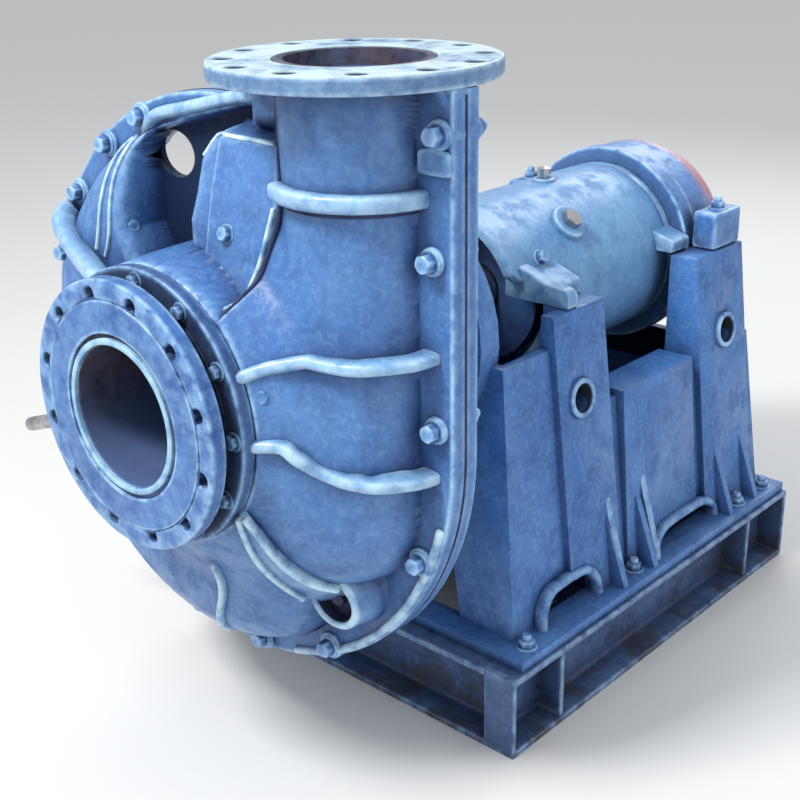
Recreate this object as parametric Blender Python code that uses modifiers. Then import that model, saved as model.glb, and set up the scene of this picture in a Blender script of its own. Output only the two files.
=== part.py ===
"""Horizontal slurry pump with a split volute casing, on a cast pedestal and a channel base.

The shaft runs along +Y, from the suction flange to the drive end. +Z is up, and the
discharge flange looks up on the +X side. x = 0 is the vertical plane through the shaft,
z = 0 is the underside of the base and y = 0 is the middle of the base's front beam.
"""
import bpy
import bmesh
from math import acos, cos, degrees, pi, radians, sin
from mathutils import Matrix, Vector

# Driving dimensions, in metres
SHAFT_Z = 0.80
GAP = 0.0003
FIT = 0.0010
SUCTION_Y = -0.58
SPLIT_Y = -0.25
CASING_DEPTH = 0.18
CASING_RADIUS = 0.505
CASING_WALL = 0.035
LEG_X = 0.26
LEG_RADIUS = 0.158
BORE = 0.132
FLANGE_THICKNESS = 0.030
SUCTION_FLANGE_RADIUS = 0.2415
SUCTION_BOLT_CIRCLE = 0.216
DISCHARGE_FLANGE_RADIUS = 0.238
DISCHARGE_BOLT_CIRCLE = 0.209
DISCHARGE_Z = 1.386
FLANGE_HOLES = 12
FLANGE_HOLE_RADIUS = 0.0130
CORNER = 0.12
BOSS_RADIUS = 0.256
COVER_RADIUS = 0.250
CONE_DEPTH = 0.245
COVER_THICKNESS = 0.028
SPOOL_RADIUS = 0.205
LINER_RADIUS = 0.152
SUCTION_BORE = 0.1255
GLAND_RADIUS = 0.130
SHAFT_RADIUS = 0.055
DRIVE_END = 1.21
IMPELLER_RADIUS = 0.245
WEB_DEPTH = 0.165
POCKET_FLOOR = 0.008
STUD_ANGLE = 200
STUD_REACH = 0.688
LIFTING_HOLE = 0.043
BELT_WIDTH = 0.028
BELTS = (152, 225, 262, 300, 335, 5)
JOINT_THICKNESS = 0.032
JOINT_RADIUS = 0.553
VOLUTE_X = -0.063
VOLUTE_Z = 0.75
HOUSING_RADIUS = 0.20
HOUSING_FRONT = 0.265
HOUSING_REAR = 0.87
BASE_HALF_WIDTH = 0.44
BASE_FRONT = -0.04
BASE_REAR = 1.09
BASE_HEIGHT = 0.18
CHANNEL_DEPTH = 0.075
CHANNEL_FLANGE = 0.013
CHANNEL_WEB = 0.009
PEDESTAL_FRONT = 0.095
PEDESTAL_REAR = 1.03
HEAD_RADIUS = 0.27
FOOT_RIBS = (0.385, 0.505, 0.845, 0.965)
POST_OUTER = 0.305
POST_INNER = 0.24
POST_TOP = 0.83
FOOT_REACH = 0.272
PEDESTAL_WALL = 0.026
PEDESTAL_FLANGE = 0.022
HEAD_FACE = 0.062
HOUSING_WALL = 0.020
HOUSING_ROOM = 0.16
BEARING_BORE = 0.075
REAR_COVER_LENGTH = 0.20
CRADLE_RADIUS = 0.2395
SMOOTH_ANGLE = 32

for old in list(bpy.data.objects):
    bpy.data.objects.remove(old, do_unlink=True)

parts = bpy.data.collections.new("slurry_pump")
cutters = bpy.data.collections.new("cutters")
bpy.context.scene.collection.children.link(parts)
bpy.context.scene.collection.children.link(cutters)


def material(name, colour, roughness, metallic):
    """A plain Principled material."""
    made = bpy.data.materials.new(name)
    made.use_nodes = True
    shader = made.node_tree.nodes["Principled BSDF"]
    shader.inputs["Base Color"].default_value = (*colour, 1.0)
    shader.inputs["Roughness"].default_value = roughness
    shader.inputs["Metallic"].default_value = metallic
    return made


blue_paint = material("blue_paint", (0.09, 0.21, 0.50), 0.42, 0.0)
pale_paint = material("pale_paint", (0.24, 0.42, 0.66), 0.40, 0.0)
base_paint = material("base_paint", (0.06, 0.13, 0.33), 0.50, 0.0)
machined_steel = material("machined_steel", (0.55, 0.56, 0.58), 0.30, 1.0)
cast_liner = material("cast_liner", (0.10, 0.10, 0.11), 0.60, 1.0)


def place(mesh, name, finish, where=(0, 0, 0), turn=(0, 0, 0), group=parts):
    """An object for the mesh, in its collection, with its one material."""
    thing = bpy.data.objects.new(name, mesh)
    thing.location = where
    thing.rotation_euler = turn
    if finish is not None:
        mesh.materials.append(finish)
    group.objects.link(thing)
    if group is cutters:
        thing.hide_render = True
        thing.display_type = "WIRE"
    return thing


def block(name, low, high, finish=None, group=parts, taper=None):
    """A box from its low corner to its high one. taper gives the top's own low and high."""
    low, high = Vector(low), Vector(high)
    size = high - low
    middle = (low + high) / 2
    shape = bmesh.new()
    bmesh.ops.create_cube(shape, size=1.0)
    for vert in shape.verts:
        vert.co = Vector(a * b for a, b in zip(vert.co, size))
        if taper is not None and vert.co.z > 0:
            vert.co.x = (taper[1][0] if vert.co.x > 0 else taper[0][0]) - middle.x
            vert.co.y = (taper[1][1] if vert.co.y > 0 else taper[0][1]) - middle.y
    mesh = bpy.data.meshes.new(name)
    shape.to_mesh(mesh)
    shape.free()
    return place(mesh, name, finish, middle, group=group)


TURNS = {"x": (0, pi / 2, 0), "-y": (pi / 2, 0, 0), "y": (-pi / 2, 0, 0), "z": (0, 0, 0)}


def rod(name, radius, low, high, where, axis, finish=None, group=parts, sides=48, tip=None):
    """A cylinder, or a cone when tip is given, from low to high along its own axis."""
    shape = bmesh.new()
    bmesh.ops.create_cone(shape, cap_ends=True, segments=sides, radius1=radius,
                          radius2=radius if tip is None else tip, depth=high - low,
                          matrix=Matrix.Translation((0, 0, (low + high) / 2)))
    mesh = bpy.data.meshes.new(name)
    shape.to_mesh(mesh)
    shape.free()
    return place(mesh, name, finish, where, TURNS[axis], group)


def turned(name, profile, where, axis, finish=None, group=parts, steps=52):
    """A solid of revolution: profile is (radius, height), down its outer side."""
    mesh = bpy.data.meshes.new(name)
    closed = all(radius > 0 for radius, height in profile)
    count = len(profile)
    edges = [(i, (i + 1) % count) for i in range(count if closed else count - 1)]
    mesh.from_pydata([(radius, 0, height) for radius, height in profile], edges, [])
    thing = place(mesh, name, finish, where, TURNS[axis], group)
    screw = thing.modifiers.new("turn", "SCREW")
    screw.steps = steps
    screw.render_steps = steps
    screw.use_merge_vertices = True
    screw.merge_threshold = 0.0001
    return thing


def ring(name, inner, outer, low, high, where, axis, finish=None, group=parts, steps=52):
    """A plain tube between two heights along its axis."""
    profile = [(outer, high), (outer, low), (inner, low), (inner, high)]
    return turned(name, profile, where, axis, finish, group, steps)


def outline_plate(name, points, low, high, finish=None, group=parts):
    """A flat plate in the XZ plane, from y = low to y = high."""
    curve = bpy.data.curves.new(name, "CURVE")
    curve.dimensions = "2D"
    curve.fill_mode = "BOTH"
    curve.extrude = (high - low) / 2
    spline = curve.splines.new("POLY")
    spline.points.add(len(points) - 1)
    for point, (x, z) in zip(spline.points, points):
        point.co = (x, z, 0, 1)
    spline.use_cyclic_u = True
    drawn = bpy.data.objects.new(name + "_outline", curve)
    bpy.context.scene.collection.objects.link(drawn)
    drawn.location = (0, (low + high) / 2, 0)
    drawn.rotation_euler = (pi / 2, 0, 0)
    bpy.context.view_layer.update()
    seen = drawn.evaluated_get(bpy.context.evaluated_depsgraph_get())
    mesh = bpy.data.meshes.new_from_object(seen)
    mesh.name = name
    matrix = drawn.matrix_world.copy()
    bpy.data.objects.remove(drawn, do_unlink=True)
    shape = bmesh.new()
    shape.from_mesh(mesh)
    bmesh.ops.remove_doubles(shape, verts=shape.verts, dist=0.00001)
    bmesh.ops.recalc_face_normals(shape, faces=shape.faces)
    shape.to_mesh(mesh)
    shape.free()
    mesh.materials.clear()
    thing = place(mesh, name, finish, group=group)
    thing.matrix_world = matrix
    return thing


def combine(target, other, operation):
    """Adds one exact Boolean to the target."""
    step = target.modifiers.new(other.name, "BOOLEAN")
    step.operation = operation
    step.object = other
    step.solver = "EXACT"


def cut(target, *others):
    for other in others:
        combine(target, other, "DIFFERENCE")


def join(target, *others):
    for other in others:
        combine(target, other, "UNION")


def arc(centre, radius, start, end, count):
    """Points on a circle, angles in degrees."""
    angles = [radians(start + (end - start) * i / count) for i in range(count + 1)]
    return [(centre[0] + radius * cos(a), centre[1] + radius * sin(a)) for a in angles]


def bolt_holes(target, name, circle, depth, where, axis):
    """Twelve holes that straddle the flange's two centre lines."""
    for i in range(FLANGE_HOLES):
        angle = 2 * pi * (i + 0.5) / FLANGE_HOLES
        if axis == "z":
            offset = Vector((circle * cos(angle), circle * sin(angle), 0))
        else:
            offset = Vector((circle * cos(angle), 0, circle * sin(angle)))
        hole = rod(f"{name}_{i}", FLANGE_HOLE_RADIUS, -depth, depth, Vector(where) + offset,
                   axis, group=cutters, sides=10)
        cut(target, hole)


def joint_outline():
    """The bolted joint's edge: a round volute with a straight leg up to the discharge."""
    centre = (VOLUTE_X, VOLUTE_Z)
    top = DISCHARGE_Z + 0.02
    right = VOLUTE_X + JOINT_RADIUS
    left = 2 * LEG_X - right
    crown = VOLUTE_Z + JOINT_RADIUS
    return [(right, top)] + arc(centre, JOINT_RADIUS, 0, -270, 40) + [(left, crown), (left, top)]


def belt(name, side, angle, width):
    """A rib that runs out over the casing's face and down its side to the joint."""
    depth = CASING_DEPTH + 0.014
    outer = CASING_RADIUS + 0.012
    bend = CORNER + 0.01
    rounded = [(outer - bend + bend * sin(a), depth - bend + bend * cos(a))
               for a in (radians(d) for d in (0, 30, 60, 90))]
    profile = [(0.10, 0.02), (0.10, depth)] + rounded + [(outer, 0.02)]
    rib = outline_plate(name, profile, -width / 2, width / 2, group=cutters)
    # its own x runs out from the volute's centre, its own y towards the casing's outer face
    out = Vector((cos(radians(angle)), 0, sin(radians(angle))))
    face = Vector((0, side, 0))
    frame = Matrix((out, face, out.cross(face))).transposed().to_4x4()
    rib.matrix_world = Matrix.Translation((VOLUTE_X, SPLIT_Y, VOLUTE_Z)) @ frame
    return rib


def pocket_outline():
    """The recess between the volute's thin end and the leg, round the throat's boss."""
    left, right = -0.27, 0.03
    floor_radius = 0.285
    start = degrees(acos(right / floor_radius))
    end = degrees(acos(left / floor_radius))
    points = [(left, 0.375)] + arc((left + 0.08, 0.375), 0.08, 180, 90, 4)[1:]
    points += [(right, 0.475)] + arc((0, 0), floor_radius, start, end, 8)
    return [(x, SHAFT_Z + z) for x, z in points]


def web_outline():
    """The flat pad between the recess and the leg, with its slanting edge on the volute."""
    corners = [(0.0305, 0.30), (0.0305, 0.70), (0.24, 0.70), (0.24, 0.38), (0.16, 0.235)]
    return [(x, SHAFT_Z + z) for x, z in corners]


def casing_half(name, side, finish):
    """Half of the casing: side -1 is the suction half and 1 the drive half."""
    axis = "-y" if side < 0 else "y"
    turn_about = (0, SPLIT_Y, SHAFT_Z)
    volute = (VOLUTE_X, SPLIT_Y, VOLUTE_Z)
    face = CASING_DEPTH
    past = -0.01
    rounded = [(CASING_RADIUS - CORNER + CORNER * sin(a), face - CORNER + CORNER * cos(a))
               for a in (radians(d) for d in (0, 18, 36, 54, 72, 90))]
    profile = [(0, face)] + rounded + [(CASING_RADIUS, past), (0, past)]
    body = turned(name, profile, volute, axis, finish, steps=48)
    top = DISCHARGE_Z - FLANGE_THICKNESS - GAP
    leg = rod(name + "_leg", LEG_RADIUS, SHAFT_Z - 0.30, top + 0.01, (LEG_X, SPLIT_Y, 0), "z",
              group=cutters, sides=32)
    cone_depth = CONE_DEPTH if side < 0 else face + 0.02
    cone = turned(name + "_cone", [(0, cone_depth), (BOSS_RADIUS, cone_depth), (0.40, face - 0.03),
                                   (0.40, 0.1), (0, 0.1)], turn_about, axis, group=cutters, steps=40)
    join(body, leg, cone)

    def depths(inner, outer):
        return sorted((SPLIT_Y + side * inner, SPLIT_Y + side * outer))

    for i, angle in enumerate(BELTS):
        join(body, belt(f"{name}_belt_{i}", side, angle, BELT_WIDTH))
    web_cut = outline_plate(name + "_web", web_outline(), *depths(WEB_DEPTH, 0.3), group=cutters)
    pad_cut = outline_plate(name + "_recess", pocket_outline(), *depths(JOINT_THICKNESS + 0.001, 0.31),
                            group=cutters)
    cut(body, web_cut, pad_cut)
    plate = outline_plate(name + "_joint", joint_outline(), *depths(past, JOINT_THICKNESS),
                          group=cutters)
    join(body, plate)
    floor_cut = outline_plate(name + "_floor", pocket_outline(), *depths(POCKET_FLOOR, 0.2),
                              group=cutters)
    eye = rod(name + "_eye", LIFTING_HOLE, -0.2, 0.2, (-0.21, SPLIT_Y, SHAFT_Z + 0.375), "y",
              group=cutters, sides=24)
    low, high = depths(GAP / 2, -0.5)
    other_half = block(name + "_beyond", (-0.8, low, 0), (0.8, high, 1.7), group=cutters)
    above = block(name + "_above", (-0.8, -0.8, top), (0.8, 0.8, 1.8), group=cutters)
    # the hollow that the impeller turns in, kept clear of the recess, and the way up
    inside = CASING_RADIUS - CASING_WALL
    room = face - CASING_WALL
    hollow = turned(name + "_hollow", [(0, room), (inside - 0.10, room), (inside - 0.03, room - 0.03),
                                       (inside, room - 0.10), (inside, -0.02), (0, -0.02)],
                    volute, axis, group=cutters, steps=36)
    cutwater = block(name + "_cutwater", (-0.30, SPLIT_Y - 0.3, SHAFT_Z + 0.10),
                     (0.115, SPLIT_Y + 0.3, SHAFT_Z + 0.6), group=cutters)
    cut(hollow, cutwater)
    eye_room = rod(name + "_eye_room", IMPELLER_RADIUS + 0.012, -0.02, room - 0.01, turn_about, axis,
                   group=cutters, sides=36)
    way_up = rod(name + "_way_up", BORE, SHAFT_Z + 0.05, top + 0.05, (LEG_X, SPLIT_Y, 0), "z",
                 group=cutters, sides=32)
    centre_bore = SPOOL_RADIUS + FIT if side < 0 else GLAND_RADIUS + FIT
    bore = rod(name + "_bore", centre_bore, 0.1, face + 0.1, turn_about, axis, group=cutters, sides=36)
    cut(body, floor_cut, eye, other_half, above, hollow, eye_room, way_up, bore)


def suction_side():
    """The suction spool with its flange, the throat cover and the liner round the bore."""
    where = (0, SUCTION_Y, SHAFT_Z)
    flange = ring("suction_flange", SPOOL_RADIUS + FIT, SUCTION_FLANGE_RADIUS, 0, FLANGE_THICKNESS,
                  where, "y", blue_paint, steps=48)
    bolt_holes(flange, "suction_hole", SUCTION_BOLT_CIRCLE, 0.1, where, "y")
    front = SPLIT_Y - CONE_DEPTH - GAP
    cover_depth = front - SUCTION_Y
    ring("throat_cover", SPOOL_RADIUS + FIT, COVER_RADIUS, cover_depth - COVER_THICKNESS,
         cover_depth, where, "y", blue_paint, steps=48)
    ring("suction_spool", LINER_RADIUS + FIT, SPOOL_RADIUS, 0.001,
         SPLIT_Y - CASING_DEPTH + CASING_WALL - SUCTION_Y, where, "y", blue_paint, steps=44)
    ring("throat_liner", SUCTION_BORE, LINER_RADIUS, -0.003, SPLIT_Y - 0.065 - SUCTION_Y, where, "y",
         cast_liner, steps=44)


def discharge_side():
    """The flange on top of the leg and the liner that lines its bore."""
    where = (LEG_X, SPLIT_Y, DISCHARGE_Z)
    flange = ring("discharge_flange", BORE, DISCHARGE_FLANGE_RADIUS, -FLANGE_THICKNESS, 0,
                  where, "z", pale_paint, steps=48)
    bolt_holes(flange, "discharge_hole", DISCHARGE_BOLT_CIRCLE, 0.1, where, "z")
    ring("discharge_liner", BORE - 0.016, BORE - FIT, -0.16, -0.002, where, "z", cast_liner, steps=44)


def impeller():
    """A closed impeller: two shrouds and the vanes between them, on a hub."""
    where = (0, SPLIT_Y, SHAFT_Z)
    back = turned("impeller", [(0, 0.055), (IMPELLER_RADIUS, 0.055), (IMPELLER_RADIUS, 0.035),
                               (0.09, 0.030), (0.05, -0.01), (0, -0.03)],
                  where, "y", cast_liner, steps=36)
    front = ring("impeller_front_shroud", 0.125, IMPELLER_RADIUS, -0.055, -0.037, where, "y",
                 group=cutters, steps=36)
    for i in range(4):
        vane = block(f"impeller_vane_{i}", (0.055, -0.012, -0.045), (IMPELLER_RADIUS - 0.005, 0.012, 0.045),
                     group=cutters)
        vane.rotation_mode = "QUATERNION"
        spin = Matrix.Rotation(pi / 2 * i + 0.3, 4, "Y")
        lean = Matrix.Rotation(radians(-25), 4, "Z")
        out = Matrix.Translation((0.15, 0, 0))
        upright = Matrix.Rotation(pi / 2, 4, "X")
        vane.matrix_world = Matrix.Translation(where) @ spin @ upright @ out @ lean
        join(back, vane)
    join(back, front)


def gland_and_shaft():
    """The stuffing box behind the casing, its gland, the shaft and its key."""
    back = SPLIT_Y + CASING_DEPTH + 0.005
    where = (0, back, SHAFT_Z)
    room = SPLIT_Y + CASING_DEPTH - CASING_WALL - 0.01
    profile = [(0.105, 0.115), (0.105, 0.045), (0.165, 0.040), (0.165, 0.0153), (GLAND_RADIUS, 0.0153),
               (GLAND_RADIUS, room - back), (SHAFT_RADIUS + 0.006, room - back),
               (SHAFT_RADIUS + 0.006, 0.115)]
    turned("stuffing_box", profile, where, "y", blue_paint, steps=44)
    ring("gland", SHAFT_RADIUS + 0.004, 0.098, 0.1153, 0.135, where, "y", machined_steel, steps=48)
    shaft = turned("shaft", [(0, DRIVE_END), (SHAFT_RADIUS - 0.008, DRIVE_END),
                             (SHAFT_RADIUS - 0.008, 1.075), (SHAFT_RADIUS, 1.075),
                             (SHAFT_RADIUS, -0.194), (0, -0.194)],
                   (0, 0, SHAFT_Z), "y", machined_steel, steps=48)
    slot = block("key_slot", (-0.0123, DRIVE_END - 0.122, SHAFT_Z + SHAFT_RADIUS - 0.0163),
                 (0.0123, DRIVE_END + 0.01, SHAFT_Z + 0.1), group=cutters)
    cut(shaft, slot)
    block("shaft_key", (-0.012, DRIVE_END - 0.120, SHAFT_Z + SHAFT_RADIUS - 0.016),
          (0.012, DRIVE_END - 0.010, SHAFT_Z + SHAFT_RADIUS + 0.001), machined_steel)


def bearing_housing():
    """The round housing with its four feet, open at the front under a hood."""
    middle = (0, 0, SHAFT_Z)
    body = turned("bearing_housing", [(HOUSING_RADIUS, HOUSING_REAR), (HOUSING_RADIUS, HOUSING_FRONT),
                                      (HOUSING_RADIUS - HOUSING_WALL, HOUSING_FRONT),
                                      (HOUSING_RADIUS - HOUSING_WALL, HOUSING_FRONT + HOUSING_ROOM),
                                      (BEARING_BORE, HOUSING_FRONT + HOUSING_ROOM),
                                      (BEARING_BORE, HOUSING_REAR)],
                  middle, "y", pale_paint, steps=48)
    for side in (-1, 1):
        for i, (near, far) in enumerate(((0.30, 0.42), (0.70, 0.90))):
            x_low, x_high = sorted((side * 0.13, side * FOOT_REACH))
            foot = block(f"housing_foot_{side}_{i}", (x_low, near, POST_TOP + GAP),
                         (x_high, min(far, HOUSING_REAR - 0.001), POST_TOP + 0.042), group=cutters)
            join(body, foot)
    bored = rod("housing_bored", BEARING_BORE, -0.1, 1.2, middle, "y", group=cutters, sides=32)
    front_room = rod("housing_front_room", HOUSING_RADIUS - HOUSING_WALL, 0.1, HOUSING_FRONT + HOUSING_ROOM,
                     middle, "y", group=cutters, sides=40)
    mouth = block("housing_mouth", (-0.4, 0.1, 0.4), (0.4, HOUSING_FRONT + 0.11, SHAFT_Z + 0.06),
                  group=cutters)
    mouth_upper = block("housing_mouth_upper", (-0.4, 0.1, 0.4), (0.4, HOUSING_FRONT + 0.05,
                        SHAFT_Z + 0.09), group=cutters)
    cut(body, bored, front_room, mouth, mouth_upper)
    boss = rod("housing_boss", 0.040, 0.15, HOUSING_RADIUS + 0.012, (0, 0.515, SHAFT_Z), "z",
               group=cutters, sides=20)
    boss.rotation_euler = (0, radians(45), 0)
    join(body, boss)
    rear = HOUSING_REAR + GAP
    turned("bearing_flange_rear", [(0.226, rear + 0.055), (0.235, rear + 0.048), (0.235, rear),
                                   (BEARING_BORE, rear), (BEARING_BORE, rear + 0.055)],
           middle, "y", blue_paint, steps=44)
    shaft_bore = SHAFT_RADIUS + 0.003
    back, start = rear + REAR_COVER_LENGTH, rear + 0.0553
    turned("bearing_cover_rear", [(0.208, back), (0.231, back - 0.025), (0.231, start),
                                  (shaft_bore, start), (shaft_bore, back)],
           middle, "y", blue_paint, steps=44)
    ring("bearing_cover_front", shaft_bore, 0.160, HOUSING_FRONT + 0.12,
         HOUSING_FRONT + 0.1597, middle, "y", blue_paint, steps=44)
    crown = (0, 0.62, SHAFT_Z + HOUSING_RADIUS - 0.004)
    seat = rod("housing_seat", 0.024, -0.02, 0.010, crown, "z", group=cutters, sides=20)
    join(body, seat)
    turned("breather", [(0, 0.036), (0.016, 0.032), (0.016, 0.018), (0.010, 0.016), (0.010, 0.0103),
                        (0, 0.0103)], crown, "z", machined_steel, steps=20)
    rod("filler_plug", 0.022, HOUSING_RADIUS + 0.0123, HOUSING_RADIUS + 0.026, (0, 0.515, SHAFT_Z), "z",
        machined_steel, sides=6).rotation_euler = (0, radians(45), 0)


def clamp_caps():
    """The two caps that hold the rear of the housing down on its posts."""
    for side, hand in ((-1, "left"), (1, "right")):
        x_low, x_high = sorted((side * 0.241, side * (POST_OUTER - 0.004)))
        block(f"clamp_cap_{hand}", (x_low, HOUSING_REAR + 0.006, POST_TOP + GAP),
              (x_high, 0.995, POST_TOP + 0.085), blue_paint)


def pedestal():
    """The cast stand: four walls that spread towards the foot, posts, ribs and side pads."""
    floor = BASE_HEIGHT + GAP
    flange_top = floor + PEDESTAL_FLANGE
    wall = PEDESTAL_WALL
    low_x, top_x = 0.37, POST_OUTER - 0.008
    low_front, low_rear = 0.05, PEDESTAL_REAR + 0.03
    top_z = SHAFT_Z - 0.04
    body = block("pedestal", (-low_x, low_front, floor), (low_x, low_rear, top_z),
                 blue_paint, taper=((-top_x, PEDESTAL_FRONT), (top_x, PEDESTAL_REAR)))
    room = block("pedestal_room", (-low_x + wall, low_front + wall, floor - 0.01),
                 (low_x - wall, low_rear - wall, top_z + 0.05), group=cutters,
                 taper=((-top_x + wall, PEDESTAL_FRONT + wall), (top_x - wall, PEDESTAL_REAR - wall)))
    cut(body, room)
    # the side walls drop between the posts and behind them
    dip = block("pedestal_dip", (-0.5, 0.44, 0.60), (0.5, 0.79, 1.0), group=cutters)
    rear_dip = block("pedestal_rear_dip", (-0.5, 0.99, 0.60), (0.5, 1.2, 1.0), group=cutters)
    rear_gap = block("pedestal_rear_gap", (-0.19, 0.8, 0.56), (0.19, 1.2, 1.0), group=cutters)
    front_gap = block("pedestal_front_gap", (-0.25, -0.1, 0.1), (0.25, 0.15, 0.46), group=cutters,
                      taper=((-0.17, -0.1), (0.17, 0.15)))
    cut(body, dip, rear_dip, rear_gap, front_gap)
    foot = block("pedestal_foot", (-0.43, 0.0, floor), (0.43, 1.085, flange_top), group=cutters)
    foot_room = block("pedestal_foot_room", (-0.335, 0.07, 0.1), (0.335, 1.025, 0.3), group=cutters)
    cut(foot, foot_room)
    # the round head that carries the casing, with the gland's room behind it
    head = rod("pedestal_head", HEAD_RADIUS, HEAD_FACE, 0.118, (0, 0, SHAFT_Z), "y", group=cutters, sides=36)
    head_room = rod("pedestal_head_room", HEAD_RADIUS - 0.10, -0.1, 0.2, (0, 0, SHAFT_Z), "y",
                    group=cutters, sides=32)
    join(body, foot, head)
    cut(body, head_room)
    for side in (-1, 1):
        for i, (near, far, inner) in enumerate(((0.30, 0.42, POST_INNER), (0.245, 0.31, 0.275),
                                                (0.79, 1.0, POST_INNER))):
            x_low, x_high = sorted((side * inner, side * POST_OUTER))
            lean_low, lean_high = sorted((side * inner, side * 0.383))
            post = block(f"post_{side}_{i}", (lean_low, near - 0.005, flange_top - 0.005),
                         (lean_high, far + 0.005, POST_TOP - 0.001 * i), group=cutters,
                         taper=((x_low, near), (x_high, far)))
            join(body, post)
        for i, y in enumerate(FOOT_RIBS):
            rib_low, rib_high = sorted((side * 0.30, side * 0.422))
            tip_low, tip_high = sorted((side * 0.296, side * 0.325))
            rib = block(f"foot_rib_{side}_{i}", (rib_low, y - 0.009, flange_top - 0.004),
                        (rib_high, y + 0.009, 0.46), group=cutters,
                        taper=((tip_low, y - 0.009), (tip_high, y + 0.009)))
            join(body, rib)
        pad_low, pad_high = sorted((side * 0.25, side * 0.375))
        edge_low, edge_high = sorted((side * 0.25, side * 0.337))
        pad = block(f"side_pad_{side}", (pad_low, 0.46, flange_top - 0.002), (pad_high, 0.755, 0.615),
                    group=cutters, taper=((edge_low, 0.465), (edge_high, 0.745)))
        join(body, pad)
        heel_low, heel_high = sorted((side * 0.27, side * 0.29))
        heel = block(f"rear_heel_{side}", (heel_low, 0.95, flange_top - 0.003),
                     (heel_high, 1.08, 0.44), group=cutters, taper=((heel_low, 0.95), (heel_high, 1.005)))
        join(body, heel)
    cross = block("cross_wall", (-0.35, 0.345, floor + 0.003), (0.35, 0.368, 0.57), group=cutters,
                  taper=((-0.29, 0.345), (0.29, 0.368)))
    join(body, cross)
    cradle = rod("rear_cradle", CRADLE_RADIUS, HOUSING_REAR - 0.01, 1.3, (0, 0, SHAFT_Z), "y", group=cutters,
                 sides=40)
    cut(body, cradle)
    for i, (y, z) in enumerate(((0.318, 0.645), (0.903, 0.640))):
        hole = rod(f"post_hole_{i}", 0.031, -0.6, 0.6, (0, y, z), "x", group=cutters, sides=20)
        cut(body, hole)
    for i, (near, far, high) in enumerate(((0.13, 0.33, 0.065), (0.56, 0.82, 0.045))):
        arch = block(f"foot_arch_{i}", (-0.6, near, flange_top + 0.0005), (0.6, far, flange_top + high),
                     group=cutters, taper=((-0.6, near + 0.02), (0.6, far - 0.02)))
        cut(body, arch)
    ring("casing_adapter", HEAD_RADIUS - 0.09, HEAD_RADIUS - 0.01, SPLIT_Y + CASING_DEPTH + 0.02 + GAP,
         HEAD_FACE - GAP, (0, 0, SHAFT_Z), "y", blue_paint, steps=40)


def base_frame():
    """Two long channels open to the sides, two cross channels, end plates and stiffeners."""
    length = BASE_REAR - BASE_FRONT
    plate = 0.010
    for side, hand in ((-1, "left"), (1, "right")):
        inner, outer = side * (BASE_HALF_WIDTH - CHANNEL_DEPTH), side * BASE_HALF_WIDTH
        web = side * (BASE_HALF_WIDTH - CHANNEL_DEPTH + CHANNEL_WEB)
        x_low, x_high = sorted((inner, outer))
        rail = block(f"base_rail_{hand}", (x_low, BASE_FRONT + plate + GAP, 0),
                     (x_high, BASE_REAR - plate - GAP, BASE_HEIGHT), base_paint)
        x_low, x_high = sorted((web, outer + side * 0.05))
        hollow = block(f"rail_hollow_{hand}", (x_low, BASE_FRONT - 0.1, CHANNEL_FLANGE),
                       (x_high, BASE_REAR + 0.1, BASE_HEIGHT - CHANNEL_FLANGE), group=cutters)
        cut(rail, hollow)
        x_low, x_high = sorted((inner, outer))
        for end, low, high in (("front", BASE_FRONT, BASE_FRONT + plate),
                               ("rear", BASE_REAR - plate, BASE_REAR)):
            block(f"base_end_plate_{end}_{hand}", (x_low, low, 0), (x_high, high, BASE_HEIGHT), base_paint)
        x_low, x_high = sorted((web + side * GAP, outer - side * 0.004))
        for end, y in (("front", 0.125), ("rear", 0.90)):
            block(f"base_stiffener_{end}_{hand}", (x_low, y, CHANNEL_FLANGE + GAP),
                  (x_high, y + 0.012, BASE_HEIGHT - CHANNEL_FLANGE - GAP), base_paint)
    span = BASE_HALF_WIDTH - CHANNEL_DEPTH - GAP
    for name, low, open_low in (("base_front_beam", BASE_FRONT, True), ("base_rear_beam",
                                BASE_REAR - CHANNEL_DEPTH, False)):
        high = low + CHANNEL_DEPTH
        beam = block(name, (-span, low, 0), (span, high, BASE_HEIGHT), base_paint)
        hollow_low = low - 0.05 if open_low else low + CHANNEL_WEB
        hollow_high = high - CHANNEL_WEB if open_low else high + 0.05
        hollow = block(name + "_hollow", (-span - 0.1, hollow_low, CHANNEL_FLANGE),
                       (span + 0.1, hollow_high, BASE_HEIGHT - CHANNEL_FLANGE), group=cutters)
        cut(beam, hollow)


def side_stud():
    """The short stub that stands out of the suction half on the side away from the leg."""
    stud = rod("side_stud", 0.016, CASING_RADIUS + GAP, STUD_REACH, (VOLUTE_X, SPLIT_Y - 0.085, VOLUTE_Z),
               "z", machined_steel, sides=16)
    stud.rotation_euler = (0, radians(90 - STUD_ANGLE), 0)


casing_half("suction_casing_half", -1, blue_paint)
casing_half("drive_casing_half", 1, blue_paint)
suction_side()
discharge_side()
impeller()
gland_and_shaft()
bearing_housing()
clamp_caps()
pedestal()
base_frame()
side_stud()

# each node keeps its worked shape, its round faces smooth and its corners sharp
bpy.context.view_layer.update()
seen = bpy.context.evaluated_depsgraph_get()
worked = [(node, bpy.data.meshes.new_from_object(node.evaluated_get(seen))) for node in parts.objects]
for node, mesh in worked:
    mesh.shade_smooth()
    mesh.set_sharp_from_angle(angle=radians(SMOOTH_ANGLE))
    node.modifiers.clear()
    node.data = mesh
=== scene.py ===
import math
from types import SimpleNamespace
import bmesh
import bpy
import numpy as np
from mathutils import Matrix, Vector


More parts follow.
